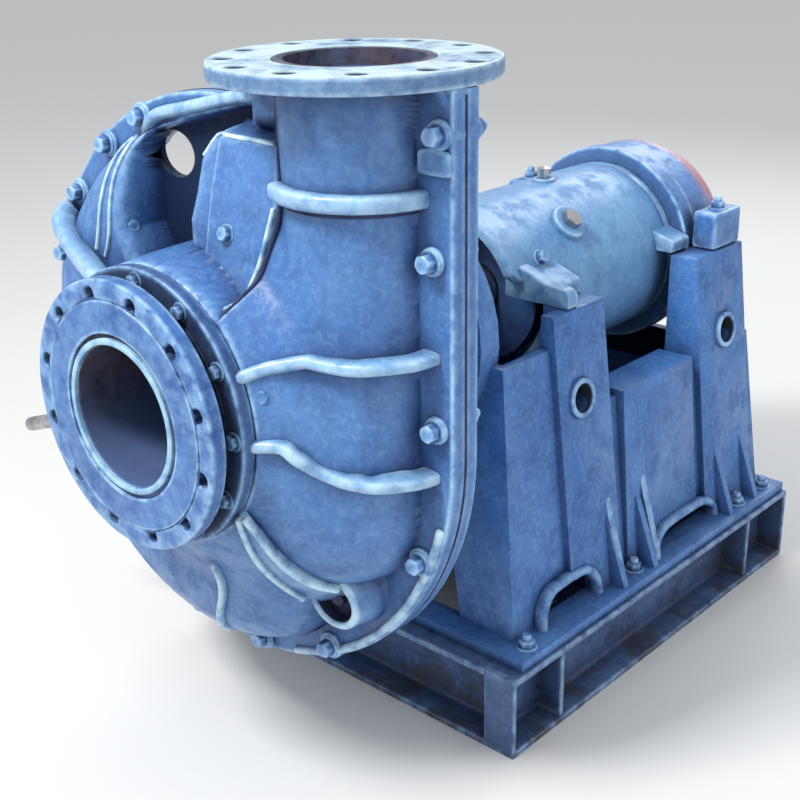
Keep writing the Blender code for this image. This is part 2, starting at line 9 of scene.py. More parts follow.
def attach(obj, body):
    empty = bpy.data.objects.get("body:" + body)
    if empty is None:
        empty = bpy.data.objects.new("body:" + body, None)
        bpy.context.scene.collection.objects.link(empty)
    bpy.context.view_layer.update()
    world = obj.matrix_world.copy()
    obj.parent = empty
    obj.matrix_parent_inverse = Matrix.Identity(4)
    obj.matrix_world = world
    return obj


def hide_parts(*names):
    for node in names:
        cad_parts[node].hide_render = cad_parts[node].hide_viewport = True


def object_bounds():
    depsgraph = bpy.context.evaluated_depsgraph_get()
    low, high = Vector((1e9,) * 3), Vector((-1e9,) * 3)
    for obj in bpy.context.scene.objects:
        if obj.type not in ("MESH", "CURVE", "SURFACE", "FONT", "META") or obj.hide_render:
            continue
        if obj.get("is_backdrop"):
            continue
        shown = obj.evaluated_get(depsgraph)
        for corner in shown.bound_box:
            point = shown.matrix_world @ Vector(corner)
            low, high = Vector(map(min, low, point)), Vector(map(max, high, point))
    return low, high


# a painted slurry pump on its stand: cast casing halves, flanges, bearing housing, pedestal and base
# x = 0 is the shaft's upright plane, the shaft runs along +Y at z = 0.8, z = 0 is the floor

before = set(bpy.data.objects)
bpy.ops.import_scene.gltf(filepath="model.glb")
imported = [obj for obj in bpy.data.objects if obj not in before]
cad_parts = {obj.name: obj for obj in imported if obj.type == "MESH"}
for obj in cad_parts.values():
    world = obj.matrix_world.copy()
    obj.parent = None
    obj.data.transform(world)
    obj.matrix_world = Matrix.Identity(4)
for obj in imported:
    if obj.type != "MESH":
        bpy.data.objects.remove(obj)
cadBox = [list(corner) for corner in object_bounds()]
shaftZ = 0.80
splitY = -0.25
halfGap = 0.00015  # between each half and the joint's plane
edgeBand = 0.005  # extra rows lie this far from an edge, so that wear stays beside it
# the two directions that span a circle, then the axis itself
axes = {
    "y": ((0, 0, 1), (1, 0, 0), (0, 1, 0)),
    "-y": ((1, 0, 0), (0, 0, 1), (0, -1, 0)),
    "z": ((1, 0, 0), (0, 1, 0), (0, 0, 1)),
}
alongY = ((0, 0, 0), (1, 0, 0), (0, 0, 1), (0, 1, 0))
print("frame loaded:", len(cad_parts), "nodes")


# rows of numbers written in millimetres
def mm(*rows):
    return [tuple(value / 1000 for value in row) for row in rows]


def unit(vectors):
    vectors = np.asarray(vectors, float)
    return vectors / np.maximum(np.linalg.norm(vectors, axis=-1, keepdims=True), 1e-12)


# quads between neighbouring rows and columns of a grid whose columns close round
def gridQuads(rows, cols, closeRows=False):
    r, c = np.meshgrid(np.arange(rows if closeRows else rows - 1), np.arange(cols), indexing="ij")
    r2, c2 = (r + 1) % rows, (c + 1) % cols
    return np.stack([r * cols + c, r * cols + c2, r2 * cols + c2, r2 * cols + c], -1).reshape(-1, 4)


# a shape is its points, its quads and its flat end caps
def gridShape(points, closeRows=False, caps=False):
    rows, cols = points.shape[:2]
    ends = [np.arange(cols), np.arange(cols) + (rows - 1) * cols] if caps else []
    return points.reshape(-1, 3), gridQuads(rows, cols, closeRows), ends


def together(shapes):
    starts = np.cumsum([0] + [len(points) for points, quads, caps in shapes])
    points = np.concatenate([shape[0] for shape in shapes])
    quads = np.concatenate([shape[1] + start for shape, start in zip(shapes, starts)])
    return points, quads, [cap + start for shape, start in zip(shapes, starts) for cap in shape[2]]


def readValues(items, what, width=3):
    values = np.empty(len(items) * width)
    items.foreach_get(what, values)
    return values.reshape(-1, width)


def storeValues(mesh, name, values, domain="POINT"):
    layer = mesh.attributes.new(name, "FLOAT", domain)
    layer.data.foreach_set("value", values.astype(np.float32))


# how strongly each vertex stands out (rubbed wear with painted highlight on edges) or lies in a corner (painted shade
# in creases): the mean over its edges of the change of normal along the edge, divided by the edge's length
def storeCurvature(mesh):
    mesh.update()
    count = len(mesh.vertices)
    points, normals = readValues(mesh.vertices, "co"), readValues(mesh.vertices, "normal")
    a, b = readValues(mesh.edges, "vertices", 2).astype(int).T
    step = points[b] - points[a]
    bend = ((normals[b] - normals[a]) * step).sum(1) / np.maximum(np.linalg.norm(step, axis=1), 0.002) ** 2
    total, share = np.zeros(count), np.zeros(count)
    for end in (a, b):
        total += np.bincount(end, bend, count)
        share += np.bincount(end, minlength=count)
    bend = total / np.maximum(share, 1)
    storeValues(mesh, "wear", np.clip(bend / 85, 0, 1))
    storeValues(mesh, "grime", np.clip(-bend / 70, 0, 1))


def shade(mesh, sharpDegrees):
    mesh.shade_smooth()
    mesh.set_sharp_from_angle(angle=math.radians(sharpDegrees))


def tidyMesh(mesh, sharpDegrees):
    shape = bmesh.new()
    shape.from_mesh(mesh)
    bmesh.ops.remove_doubles(shape, verts=shape.verts, dist=2e-6)
    bmesh.ops.recalc_face_normals(shape, faces=shape.faces)
    shape.to_mesh(mesh)
    shape.free()
    shade(mesh, sharpDegrees)


def newObject(name, data):
    made = bpy.data.objects.new(name, data)
    bpy.context.scene.collection.objects.link(made)
    return made


def newMesh(name, shapes, sharpDegrees):
    points, quads, caps = together(shapes)
    mesh = bpy.data.meshes.new(name)
    mesh.from_pydata(points.tolist(), [], quads.tolist() + [cap.tolist() for cap in caps])
    tidyMesh(mesh, sharpDegrees)
    return mesh


# modifiers become part of the mesh
def workIn(made, sharpDegrees):
    bpy.context.view_layer.update()
    mesh = bpy.data.meshes.new_from_object(made.evaluated_get(bpy.context.evaluated_depsgraph_get()))
    made.modifiers.clear()
    made.data = mesh
    shade(mesh, sharpDegrees)


def dress(made, finish, slotName, replaced):
    made.data.materials.clear()
    made.data.materials.append(finishes[finish])
    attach(made, "root")
    if replaced:
        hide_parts(*replaced)


def makePiece(name, shapes, finish, slotName, replaced=(), sharpDegrees=40, cutBy=None):
    made = newObject(name, newMesh(name, shapes, sharpDegrees))
    if cutBy is not None:
        hole = made.modifiers.new("hole", "BOOLEAN")
        hole.operation, hole.object, hole.solver = "DIFFERENCE", cutBy, "EXACT"
        workIn(made, sharpDegrees)
    storeCurvature(made.data)
    dress(made, finish, slotName, replaced)
    return made


# a corner of an outline becomes a curve: (1-s)^2 start + 2 s (1-s) corner + s^2 end
def softened(points, cut, closed=True, count=5):
    p = np.asarray(points, float)
    toBefore, toAfter = np.roll(p, 1, 0) - p, np.roll(p, -1, 0) - p
    before, after = (np.maximum(np.linalg.norm(way, axis=1), 1e-9) for way in (toBefore, toAfter))
    reach = np.minimum(cut, 0.45 * np.minimum(before, after))
    if not closed:
        reach[[0, -1]] = 0
    start = p + toBefore * (reach / before)[:, None]
    end = p + toAfter * (reach / after)[:, None]
    s = np.linspace(0, 1, count)[None, :, None]
    curve = (1 - s) ** 2 * start[:, None] + 2 * s * (1 - s) * p[:, None] + s ** 2 * end[:, None]
    curve = curve.reshape(-1, 2)
    keep = np.linalg.norm(curve - np.roll(curve, 1, 0), axis=1) > 1e-7
    keep[0] = keep[0] or not closed
    return curve[keep]


# a line with two more points on each long side, edgeBand from its ends
def nearEnds(points, closed=True):
    p = np.asarray(points, float)
    step = np.roll(p, -1, 0) - p
    length = np.linalg.norm(step, axis=1, keepdims=True)
    way = step / np.maximum(length, 1e-9) * edgeBand
    long = length[:, 0] > 3 * edgeBand
    if not closed:
        long[-1] = False
    rows = np.stack([p, p + way, p + step - way], 1)
    return rows[np.stack([np.ones_like(long), long, long], 1)]


# directions round a circle: cos t * out + sin t * side
def circleOf(turn, out, side):
    return np.cos(turn)[:, None] * out + np.sin(turn)[:, None] * side


# a turned surface: centre + radius * (cos t * out + sin t * side) + height * along
def turnedShape(profile, centre, axis, steps=96, cut=0.0, closed=True):
    profile = nearEnds(softened(profile, cut, closed, 4) if cut else profile, closed)
    out, side, along = np.array(axes[axis] if isinstance(axis, str) else axis, float)
    ring = circleOf(2 * np.pi * np.arange(steps) / steps, out, side)
    return gridShape(np.asarray(centre) + profile[:, 0, None, None] * ring + profile[:, 1, None, None] * along, closed)


# a flat outline carried straight from low to high, its end edges rounded: each row is the outline
# moved in by edge * (1 - sin t) at the height edge * (1 - cos t) from the end
def extruded(outline, low, high, place, edge=0.003):
    outline = nearEnds(outline)
    origin, ex, ey, ez = np.array(place, float)
    before, after = outline - np.roll(outline, 1, 0), np.roll(outline, -1, 0) - outline
    n1, n2 = (np.stack([way[:, 1], -way[:, 0]], 1) for way in (unit(before), unit(after)))
    x, y = outline.T
    inward = np.sign((x * np.roll(y, -1) - y * np.roll(x, -1)).sum())
    mitre = inward * (n1 + n2) / np.maximum(1 + (n1 * n2).sum(1, keepdims=True), 0.4)
    rounded = [(outline - mitre * (edge * (1 - math.sin(a))), edge * (1 - math.cos(a)))
               for a in np.linspace(0, np.pi / 2, 3)]
    rows = [(line, low + rise) for line, rise in rounded]
    if high - low > 2 * edge + 3 * edgeBand:
        share = (edge + edgeBand) / (high - low)
        rows += [(outline, low + (high - low) * s) for s in (share, 1 - share)]
    rows += [(line, high - rise) for line, rise in rounded[::-1]]
    bends = before[:, 0] * after[:, 1] - before[:, 1] * after[:, 0]
    shrink = 1 - 2 * (edge + edgeBand) / min(np.ptp(outline, axis=0))
    if shrink > 0.4 and (np.all(bends > -1e-9) or np.all(bends < 1e-9)):
        smaller = outline.mean(0) + shrink * (outline - outline.mean(0))
        rows = [(smaller, low)] + rows + [(smaller, high)]
    points = np.stack([origin + line[:, :1] * ex + line[:, 1:] * ey + height * ez for line, height in rows])
    return gridShape(points, caps=True)


# points between the given ones: cubic pieces whose slopes are the differences of their neighbours
def smoothPath(points, count):
    p = np.asarray(points, float)
    slope = np.gradient(p, axis=0)
    t = np.linspace(0, len(p) - 1, count)
    i = np.minimum(t.astype(int), len(p) - 2)
    f = (t - i)[:, None]
    return ((2 * f ** 3 - 3 * f ** 2 + 1) * p[i] + (f ** 3 - 2 * f ** 2 + f) * slope[i]
            + (3 * f ** 2 - 2 * f ** 3) * p[i + 1] + (f ** 3 - f ** 2) * slope[i + 1])


# a row of values or directions, each replaced by (before + 2 * itself + after) / 4, some times over
def evened(values, times):
    for _ in range(times):
        values = np.concatenate([values[:1], (values[:-2] + 2 * values[1:-1] + values[2:]) / 4, values[-1:]])
        values = unit(values) if values.ndim > 1 else values
    return values


# a section carried along a path: path + across * side + height * up, with side = tangent x up,
# and both ends closed by smaller copies of the section
def sweptShape(path, up, section, scale=1.0):
    tangent = unit(np.gradient(path, axis=0))
    side = unit(np.cross(tangent, np.broadcast_to(up, path.shape)))
    rise = np.cross(side, tangent)
    scale = np.broadcast_to(scale, (len(path), 2))[:, None]
    points = (path[:, None] + scale[..., :1] * section[:, :1] * side[:, None]
              + scale[..., 1:] * section[:, 1:] * rise[:, None])
    size = np.abs(section).max()
    tips = []
    for end, way in ((0, -1), (-1, 1)):
        middle = points[end].mean(0)
        tips.append([middle + (points[end] - middle) * k + tangent[end] * way * size * reach * scale[end, 0, 0]
                     for k, reach in ((0.85, 0.25), (0.5, 0.42), (0.0, 0.45))])
    return gridShape(np.concatenate([tips[0][::-1], points, tips[1]]))


# a superellipse: sign(cos t) |cos t|^(2/power) by sign(sin t) |sin t|^(2/power)
def roundSection(width, height, count=14, power=3.2, base=0.0):
    t = 2 * np.pi * np.arange(count) / count
    x, y = (np.sign(v) * np.abs(v) ** (2 / power) * size / 2
            for v, size in ((np.cos(t), width), (np.sin(t), height)))
    return np.stack([x, y + base], 1)


# washer and head of a bolt or a nut, as (share of radius, share of height, how hexagonal)
washerRows = [(1.34, -0.5, 0), (1.34, 0.10, 0), (1.26, 0.16, 0), (1.0, 0.17, 1)]
headRows = {
    "bolt": [(1.0, 0.80, 1), (0.93, 0.93, 0.5), (0.80, 1.0, 0), (0.0, 1.0, 0)],
    "nut": [(1.0, 0.74, 1), (0.90, 0.84, 0.3), (0.58, 0.86, 0), (0.56, 1.30, 0), (0.46, 1.42, 0), (0.0, 1.42, 0)],
}


# six-sided heads: the radius at turn t is R * cos30 / cos((t mod 60) - 30) where the row is hexagonal
def fasteners(places, normals, radius, height, kind="bolt"):
    share, lift, hexness = np.array(washerRows + headRows[kind]).T
    turn = 2 * np.pi * np.arange(24) / 24
    facet = math.cos(math.pi / 6) / np.cos(np.mod(turn, np.pi / 3) - np.pi / 6)
    reach = radius * share[:, None] * (1 - hexness[:, None] + hexness[:, None] * facet)
    places = np.atleast_2d(places)
    normals = np.broadcast_to(unit(normals), places.shape)
    helper = np.where(np.abs(normals[:, 2:]) > 0.8, (1.0, 0, 0), (0, 0, 1.0))
    e1 = unit(np.cross(helper, normals))
    e2 = np.cross(normals, e1)
    turns = (turn + 0.3 * np.arange(len(places))[:, None])[..., None]
    ring = np.cos(turns) * e1[:, None] + np.sin(turns) * e2[:, None]
    points = (places[:, None, None] + reach[:, :, None] * ring[:, None]
              + (lift * height)[:, None, None] * normals[:, None, None])
    quads = gridQuads(len(share), len(turn))
    return together([(head.reshape(-1, 3), quads, [np.arange(len(turn))]) for head in points])


# a ring with drilled holes: in each sector the face runs from the sector's outline, blended row by row,
# to the hole's circle, down its wall and out again on the other face; plain strips close both rims
def drilledRing(centre, axis, ring, edge):
    out, side, along = np.array(axes[axis], float)
    thickness, count, hole, arcCount = ring["thickness"], ring["holes"], ring["hole"], 9
    half = math.pi / count
    sweep = np.linspace(-half, half, arcCount)
    radial = np.linspace(0, 1, 8)[1:-1]
    a, b = ring["inner"] + edge, ring["outer"] - edge
    rho = np.concatenate([np.full(arcCount, b), b + (a - b) * radial, np.full(arcCount, a), a + (b - a) * radial])
    theta = np.concatenate([sweep, np.full(6, half), sweep[::-1], np.full(6, -half)])
    flat = np.stack([rho * np.cos(theta), rho * np.sin(theta)], 1)
    middle = np.array([ring["circle"], 0.0])
    way = unit(flat - middle)
    lip = edge * 0.7
    outside, mouth, wall = (middle + way * (hole + more) for more in (0.006, lip, 0))
    rows = [(flat, thickness), (flat * 0.9 + outside * 0.1, thickness), (flat * 0.3 + outside * 0.7, thickness),
            (mouth, thickness), (wall, thickness - lip), (wall, lip), (mouth, 0), (flat, 0)]
    shapes = []
    for t in 2 * np.pi * (np.arange(count) + 0.5) / count:
        c, s = math.cos(t), math.sin(t)
        shapes.append(gridShape(np.stack([
            centre + (x * c - y * s)[:, None] * out + (x * s + y * c)[:, None] * side + height * along
            for (x, y), height in ((line.T, height) for line, height in rows)])))
    steps = count * (arcCount - 1)
    circle = circleOf(2 * np.pi * np.arange(steps) / steps, out, side)
    for rim, face, nearly in ((ring["outer"], b, -0.3 * edge), (ring["inner"], a, 0.3 * edge)):
        strip = np.array([(face, thickness), (rim + nearly, thickness - edge * 0.3), (rim, thickness - edge),
                          (rim, thickness * 0.70), (rim, thickness * 0.30), (rim, edge),
                          (rim + nearly, edge * 0.3), (face, 0)])
        shapes.append(gridShape(centre + strip[:, 0, None, None] * circle + strip[:, 1, None, None] * along))
    return together(shapes)


# each paint's deep tone (for blotches and painted shade in corners), its own tone, its pale tone and its rubbed tone
# (rubbed wear with painted highlight), then roughness and the strength of the painted shade in corners
paintTones = {
    "casing": ((0.012, 0.036, 0.150), (0.047, 0.145, 0.390), (0.105, 0.252, 0.540), (0.34, 0.58, 0.82), 0.38, 0.85),
    "discharge": ((0.026, 0.072, 0.210), (0.052, 0.135, 0.300), (0.115, 0.235, 0.420), (0.40, 0.58, 0.74), 0.42, 0.7),
    "housing": ((0.030, 0.090, 0.260), (0.085, 0.225, 0.460), (0.165, 0.350, 0.600), (0.36, 0.58, 0.75), 0.38, 0.75),
    "pedestal": ((0.012, 0.036, 0.150), (0.036, 0.132, 0.385), (0.078, 0.225, 0.530), (0.34, 0.57, 0.82), 0.40, 0.85),
    # flange: a darker copy of the casing paint, painted shade on the flange's lit face
    "flange": ((0.008, 0.026, 0.120), (0.021, 0.092, 0.315), (0.046, 0.160, 0.440), (0.34, 0.57, 0.82), 0.43, 0.85),
    # rib: a lighter copy of the casing paint, painted highlight on belts, ribs, beads and lips
    "rib": ((0.035, 0.100, 0.290), (0.110, 0.270, 0.520), (0.230, 0.440, 0.690), (0.58, 0.78, 0.86), 0.34, 0.7),
    "shade": ((0.006, 0.016, 0.070), (0.022, 0.064, 0.200), (0.055, 0.140, 0.340), (0.20, 0.38, 0.62), 0.45, 0.95),
    "base": ((0.008, 0.017, 0.065), (0.036, 0.080, 0.215), (0.080, 0.160, 0.350), (0.25, 0.40, 0.60), 0.48, 0.95),
}
flangeTop = 1.386
# rust tones, and painted light: near black painted shade, painted shade low down and a pale painted highlight on top
dirtTones = dict(soot=(0.006, 0.010, 0.030), mud=(0.035, 0.030, 0.030), bleach=(0.42, 0.55, 0.60),
                 redRust=(0.56, 0.20, 0.16), ironRust=(0.16, 0.075, 0.045))


# a finish and the calls that add one node each and give its output
def startFinish(name, tone):
    made = bpy.data.materials.new(name)
    made.use_nodes = True
    made.diffuse_color = (*tone, 1)
    tree = made.node_tree
    shader = tree.nodes["Principled BSDF"]

    def put(socket, value):
        if isinstance(value, bpy.types.NodeSocket):
            tree.links.new(value, socket)
        else:
            socket.default_value = (*value, 1) if socket.type == "RGBA" else value

    def node(kind, output, sockets, **settings):
        step = tree.nodes.new("ShaderNode" + kind)
        for key, value in settings.items():
            setattr(step, key, value)
        for key, value in sockets.items():
            put(step.inputs[key], value)
        return step.outputs[output]

    where = node("TexCoord", "Object", {})

    def noise(scale, detail=5.0, roughness=0.55, at=where):
        return node("TexNoise", "Fac", {"Vector": at, "Scale": scale, "Detail": detail, "Roughness": roughness})

    def ramp(value, low, high):
        return node("MapRange", "Result", {"Value": value, "From Min": low, "From Max": high},
                    interpolation_type="SMOOTHSTEP")

    def patches(scale, detail, roughness, low, high):
        return ramp(noise(scale, detail, roughness), low, high)

    def times(a, b):
        return node("Math", "Value", {0: a, 1: b}, operation="MULTIPLY")

    def plus(a, b):
        return node("Math", "Value", {0: a, 1: b}, operation="ADD")

    def stored(what):
        return node("Attribute", "Fac", {}, attribute_name=what)

    def place(letter):
        return node("SeparateXYZ", letter, {"Vector": where})

    # the layers lie over the tone one by one, each as (share, tone)
    def cover(layers, rough, low, high, skin, strength, distance):
        colour = tone
        for share, over in layers:
            colour = node("Mix", 2, {0: share, 6: colour, 7: over}, data_type="RGBA")
        put(shader.inputs["Base Color"], colour)
        put(shader.inputs["Roughness"],
            node("MapRange", "Result", {"Value": rough, "To Min": low, "To Max": high}))
        put(shader.inputs["Normal"],
            node("Bump", "Normal", {"Strength": strength, "Distance": distance, "Height": skin}))
        return made

    return SimpleNamespace(**locals())


# brushed enamel on rough castings: cloudy tones, runs, rubbed edges with painted highlight, painted shade in the
# corners and creases
def paintFinish(name, key, topBleach=0.0, rust=0.0, darkBelow=None):
    deep, tone, light, chip, roughness, dirtiness = paintTones[key]
    f = startFinish(name, tone)
    times = f.times
    blotch = f.patches(19.0, 5.0, 0.6, 0.42, 0.68)
    stretched = f.node("Mapping", "Vector", {"Vector": f.where, "Scale": (5, 5, 0.7)})
    # painted shade: darker where ambient occlusion finds corners and recesses
    shadow = f.node("AmbientOcclusion", "AO", {"Distance": 0.10}, samples=6)
    dirt = times(f.ramp(shadow, 0.97, 0.30), dirtiness)
    layers = [(times(f.patches(5.0, 6.0, 0.62, 0.36, 0.66), 0.62), light), (times(blotch, 0.30), deep),
              (times(f.ramp(f.noise(9.0, 4.0, 0.5, stretched), 0.50, 0.74), 0.28), light),
              (times(f.patches(85.0, 4.0, 0.6, 0.46, 0.66), 0.12), chip),
              # painted shade in corners and creases
              (dirt, tuple(0.55 * c for c in deep)), (times(f.stored("grime"), 0.65), deep),
              # rubbed wear with painted highlight on the edges
              (times(times(f.stored("wear"), f.patches(34.0, 4.0, 0.55, 0.26, 0.66)), 0.9), chip)]
    # painted highlight: the flange's top face turns pale
    if topBleach:
        upper = times(f.ramp(f.place("Z"), flangeTop - 0.006, flangeTop), topBleach)
        layers.append((times(upper, f.patches(14.0, 6.0, 0.65, 0.30, 0.58)), dirtTones["bleach"]))
    # painted shade: darker towards the bottom
    if darkBelow is not None:
        lower = f.ramp(f.place("Z"), darkBelow[1], darkBelow[0])
        layers.append((times(times(lower, f.patches(12.0, 6.0, 0.65, 0.42, 0.62)), 0.75), dirtTones["mud"]))
    if rust:
        upperRear = times(f.ramp(f.place("Z"), 0.84, 0.95), f.ramp(f.place("Y"), 0.985, 1.03))
        warm = times(f.patches(6.0, 5.0, 0.6, 0.36, 0.50), upperRear)
        layers.append((times(warm, rust), dirtTones["redRust"]))
    # painted shade: near black on pocket floors, hollows and hole walls, with less sheen
    layers.append((f.stored("soot"), dirtTones["soot"]))
    f.put(f.shader.inputs["Specular IOR Level"], f.plus(times(f.stored("soot"), -0.44), 0.5))
    skin = f.plus(f.noise(46.0, 6.0, 0.6), times(f.noise(230.0, 3.0), 0.35))
    return f.cover(layers, f.plus(blotch, times(dirt, 0.6)), roughness - 0.08, roughness + 0.26, skin, 0.34, 0.004)


# bare iron or steel, stained; rust is how much of it there is; the last setting gives (low, high, tone) for a paler
# tone below a height, painted light
def metalFinish(name, bright, dark, roughness, rust=0.0, metallic=1.0, dust=None):
    f = startFinish(name, bright)
    f.shader.inputs["Metallic"].default_value = metallic
    stain = f.patches(24.0, 6.0, 0.62, 0.38, 0.66)
    # painted shade in creases
    layers = [(stain, dark), (f.times(f.stored("grime"), 0.7), tuple(0.4 * c for c in dark))]
    if rust:
        layers.append((f.times(f.patches(11.0, 6.0, 0.65, 0.46, 0.62), rust), dirtTones["ironRust"]))
    if dust is not None:
        layers.append((f.times(f.ramp(f.place("Z"), dust[1], dust[0]), 0.8), dust[2]))
    return f.cover(layers, stain, roughness, roughness + 0.25, f.noise(120.0, 5.0, 0.6), 0.22, 0.002)


paintExtras = {"discharge": dict(topBleach=0.95), "base": dict(darkBelow=(0.02, 0.17))}
finishes = {key: paintFinish(key + "Enamel", key, **paintExtras.get(key, {})) for key in paintTones}
finishes.update({
    "rearCover": paintFinish("rearCoverEnamel", "casing", rust=0.75),
    "bolt": paintFinish("boltEnamel", "pedestal"),
    # dark seam finish: the real joint line between the halves, and painted shade in creases and hollows
    "seam": metalFinish("seamAndShadeDark", (0.012, 0.022, 0.085), (0.006, 0.012, 0.045), 0.6, metallic=0.0),
    # socket: painted shade in the post holes
    "socket": metalFinish("socketShade", (0.020, 0.026, 0.050), (0.008, 0.010, 0.020), 0.75, metallic=0.0),
    # liner: painted light, paler and bluer below the shaft where light falls into the bore
    "liner": metalFinish("linerIron", (0.075, 0.080, 0.130), (0.018, 0.018, 0.036), 0.50, rust=0.22, metallic=0.3,
                         dust=(0.68, 0.84, (0.085, 0.150, 0.330))),
    "steel": metalFinish("machinedSteel", (0.52, 0.53, 0.56), (0.28, 0.28, 0.30), 0.28, rust=0.25),
})
print("finishes ready:", len(finishes))

# CAD nodes that stay
nodeFinish = {
    "casing": ("stuffing_box", "casing_adapter"),
    "shade": ("suction_spool", "bearing_cover_front"),
    "liner": ("discharge_liner", "impeller"),
    "steel": ("shaft", "shaft_key", "gland", "side_stud", "breather", "filler_plug"),
}
for key, names in nodeFinish.items():
    for nodeName in names:
        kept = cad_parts[nodeName].data.materials
        kept.clear()
        kept.append(finishes[key])

casing = dict(
    jointCentre=(-0.063, -0.05), jointRadius=0.5529, jointDepth=0.032, rimEdge=0.005,
    legRight=0.49, legLeft=0.03, legTop=0.5555, legCentre=0.285, legRadius=0.133, legLift=0.015, legFoot=-0.10,
    bodyRadius=0.505, bodyDip=0.065, dipAngle=-46.0, dipWidth=14.0, bodyRight=0.418, bodyCorner=0.15, bodyPower=2.4,
    bossRadius=0.2555, bossDepth=0.245, rearBossDepth=0.198, rearDeeper=0.012, ridgeStep=0.013, shoulderDepth=0.086,
    pocketFloor=0.010, pocketWall=0.012, pocketLip=0.026, eyeCentre=(-0.203, 0.376), eyeRadius=0.044, eyeStretch=1.25,
    cavityRadius=0.468, cavityDepth=0.145, boreCentre=0.26, boreRadius=0.132,
)
body = SimpleNamespace(**casing)
cx, cz = body.jointCentre
eyeX, eyeZ = body.eyeCentre
# how fast the cone falls away from the boss, by the angle round the shaft in degrees
coneFalls = ((-180, 1.7), (-150, 1.25), (-120, 0.95), (-90, 0.75), (-45, 0.62), (-12, 0.68), (5, 0.95), (22, 1.2),
             (42, 1.8), (56, 2.2), (130, 2.2), (150, 1.9), (180, 1.7))
# the depth of the volute's face by the angle round its centre in degrees, and of the pad by its height
faceDepths = ((-180, 0.130), (-135, 0.150), (-90, 0.165), (0, 0.165), (60, 0.150), (110, 0.108), (135, 0.108),
              (158, 0.118), (180, 0.130))
padDepths = ((0, 0.21), (0.17, 0.190), (0.26, 0.152), (0.355, 0.132), (0.457, 0.104))
# outlines on the joint's plane, in x and z from the shaft; -1 is the suction half, 1 the drive half
ridgeSide = mm((20, 458), (-4, 435), (-24, 405), (-26, 350), (-36, 300), (-24, 250))
ridgeCorners = mm((36, -50), (36, 462)) + ridgeSide + mm((-20, -50))
padCorners = mm((36, -50), (36, 457), (188, 457), (207, 359), (168, 190), (160, -50))
shoulderCorners = mm((78, 462), (78, 600), (300, 600), (300, 462))
pocketTop = mm((-235, 425), (-130, 455), (10, 490), (75, 500), (75, 463)) + ridgeSide + mm((-20, 200), (-170, 100))
pocketCorners = {
    -1: mm((-262, 240), (-262, 385)) + pocketTop + mm((-215, 140)),
    1: mm((-440, 100), (-400, 240), (-330, 360)) + pocketTop + mm((-260, 80)),
}


# signed distance to a closed outline, positive inside: the least distance to its sides, with the
# sign from how often a ray to the left meets them
def insideBy(corners, x, z):
    nearest, inside = np.full(x.shape, 9.0), np.zeros(x.shape, bool)
    for (ax, az), (bx, bz) in zip(corners, corners[1:] + corners[:1]):
        dx, dz = bx - ax, bz - az
        t = np.clip(((x - ax) * dx + (z - az) * dz) / (dx * dx + dz * dz), 0, 1)
        nearest = np.minimum(nearest, np.hypot(x - ax - t * dx, z - az - t * dz))
        inside ^= ((az > z) != (bz > z)) & (x < ax + dx * (z - az) / (dz or 1e-12))
    return np.where(inside, nearest, -nearest)


# t^2 (3 - 2 t), with t kept between 0 and 1
def eased(value):
    value = np.clip(value, 0, 1)
    return value * value * (3 - 2 * value)


def blended(a, b, share):
    return a + (b - a) * eased(share)


def softMax(a, b, width):
    return (a + b + np.sqrt((a - b) ** 2 + width * width)) / 2 - width * 0.12


# a quarter of a superellipse: (1 - (1 - t)^n)^(1/n)
def roundedRise(t, power):
    return (1 - (1 - np.clip(t, 0, 1)) ** power) ** (1 / power)


def readTable(value, table):
    return np.interp(value, *np.array(table).T)


# how deep the casing's outside lies in front of the joint, over the joint's plane (x, z from the
# shaft): the volute's rounded face, the cone to the boss, the leg's half cylinder, the pad, the
# ridge and the shoulder beside it, the pocket between them, and the boss on top
def outerDepth(x, z, way=-1):
    bearing = np.degrees(np.arctan2(z - cz, x - cx))
    edgeRadius = body.bodyRadius - body.bodyDip * np.exp(-((bearing - body.dipAngle) / body.dipWidth) ** 2)
    inward = -softMax(np.hypot(x - cx, z - cz) - edgeRadius, x - body.bodyRight, 0.02)
    face = readTable(bearing, faceDepths) + (0.0 if way < 0 else body.rearDeeper)
    fromShaft, around = np.hypot(x, z), np.degrees(np.arctan2(z, x))
    bossDepth = body.bossDepth if way < 0 else body.rearBossDepth
    cone = bossDepth - readTable(around, coneFalls) * (fromShaft - body.bossRadius)
    window = eased((around - 60) / 8) * eased((153 - around) / 8)
    depth = softMax(face, cone * (1 - window), 0.03) * roundedRise(inward / body.bodyCorner, body.bodyPower)
    padDepth = readTable(z, padDepths)
    depth = blended(np.maximum(depth, 0), padDepth - body.ridgeStep, insideBy(ridgeCorners, x, z) / 0.014 + 0.5)
    shoulder = body.shoulderDepth * roundedRise((insideBy(shoulderCorners, x, z) + 0.008) / 0.05, 2.2)
    u = np.hypot(x - body.legCentre, np.minimum(z - body.legFoot, 0))
    leg = np.sqrt(np.maximum(body.legRadius ** 2 - u ** 2, 0)) + body.legLift
    depth = softMax(np.maximum(depth, shoulder), np.where(u < body.legRadius, leg, 0), 0.014)
    depth = blended(depth, padDepth, insideBy(padCorners, x, z) / 0.012 + 0.5)
    plain = np.maximum(depth, body.jointDepth)
    inPocket = insideBy(pocketCorners[way], x, z)
    lip = body.pocketLip * np.clip((plain - 0.045) / 0.05, 0, 1)
    plain = plain - lip * (1 - np.sqrt(1 - np.clip(1 + inPocket / body.pocketLip, 0, 1) ** 2))
    depth = blended(plain, body.pocketFloor, inPocket / body.pocketWall)
    boss = bossDepth * roundedRise((body.bossRadius + 0.004 - fromShaft) / 0.012, 2.0)
    return np.minimum(np.maximum(depth, boss), bossDepth)


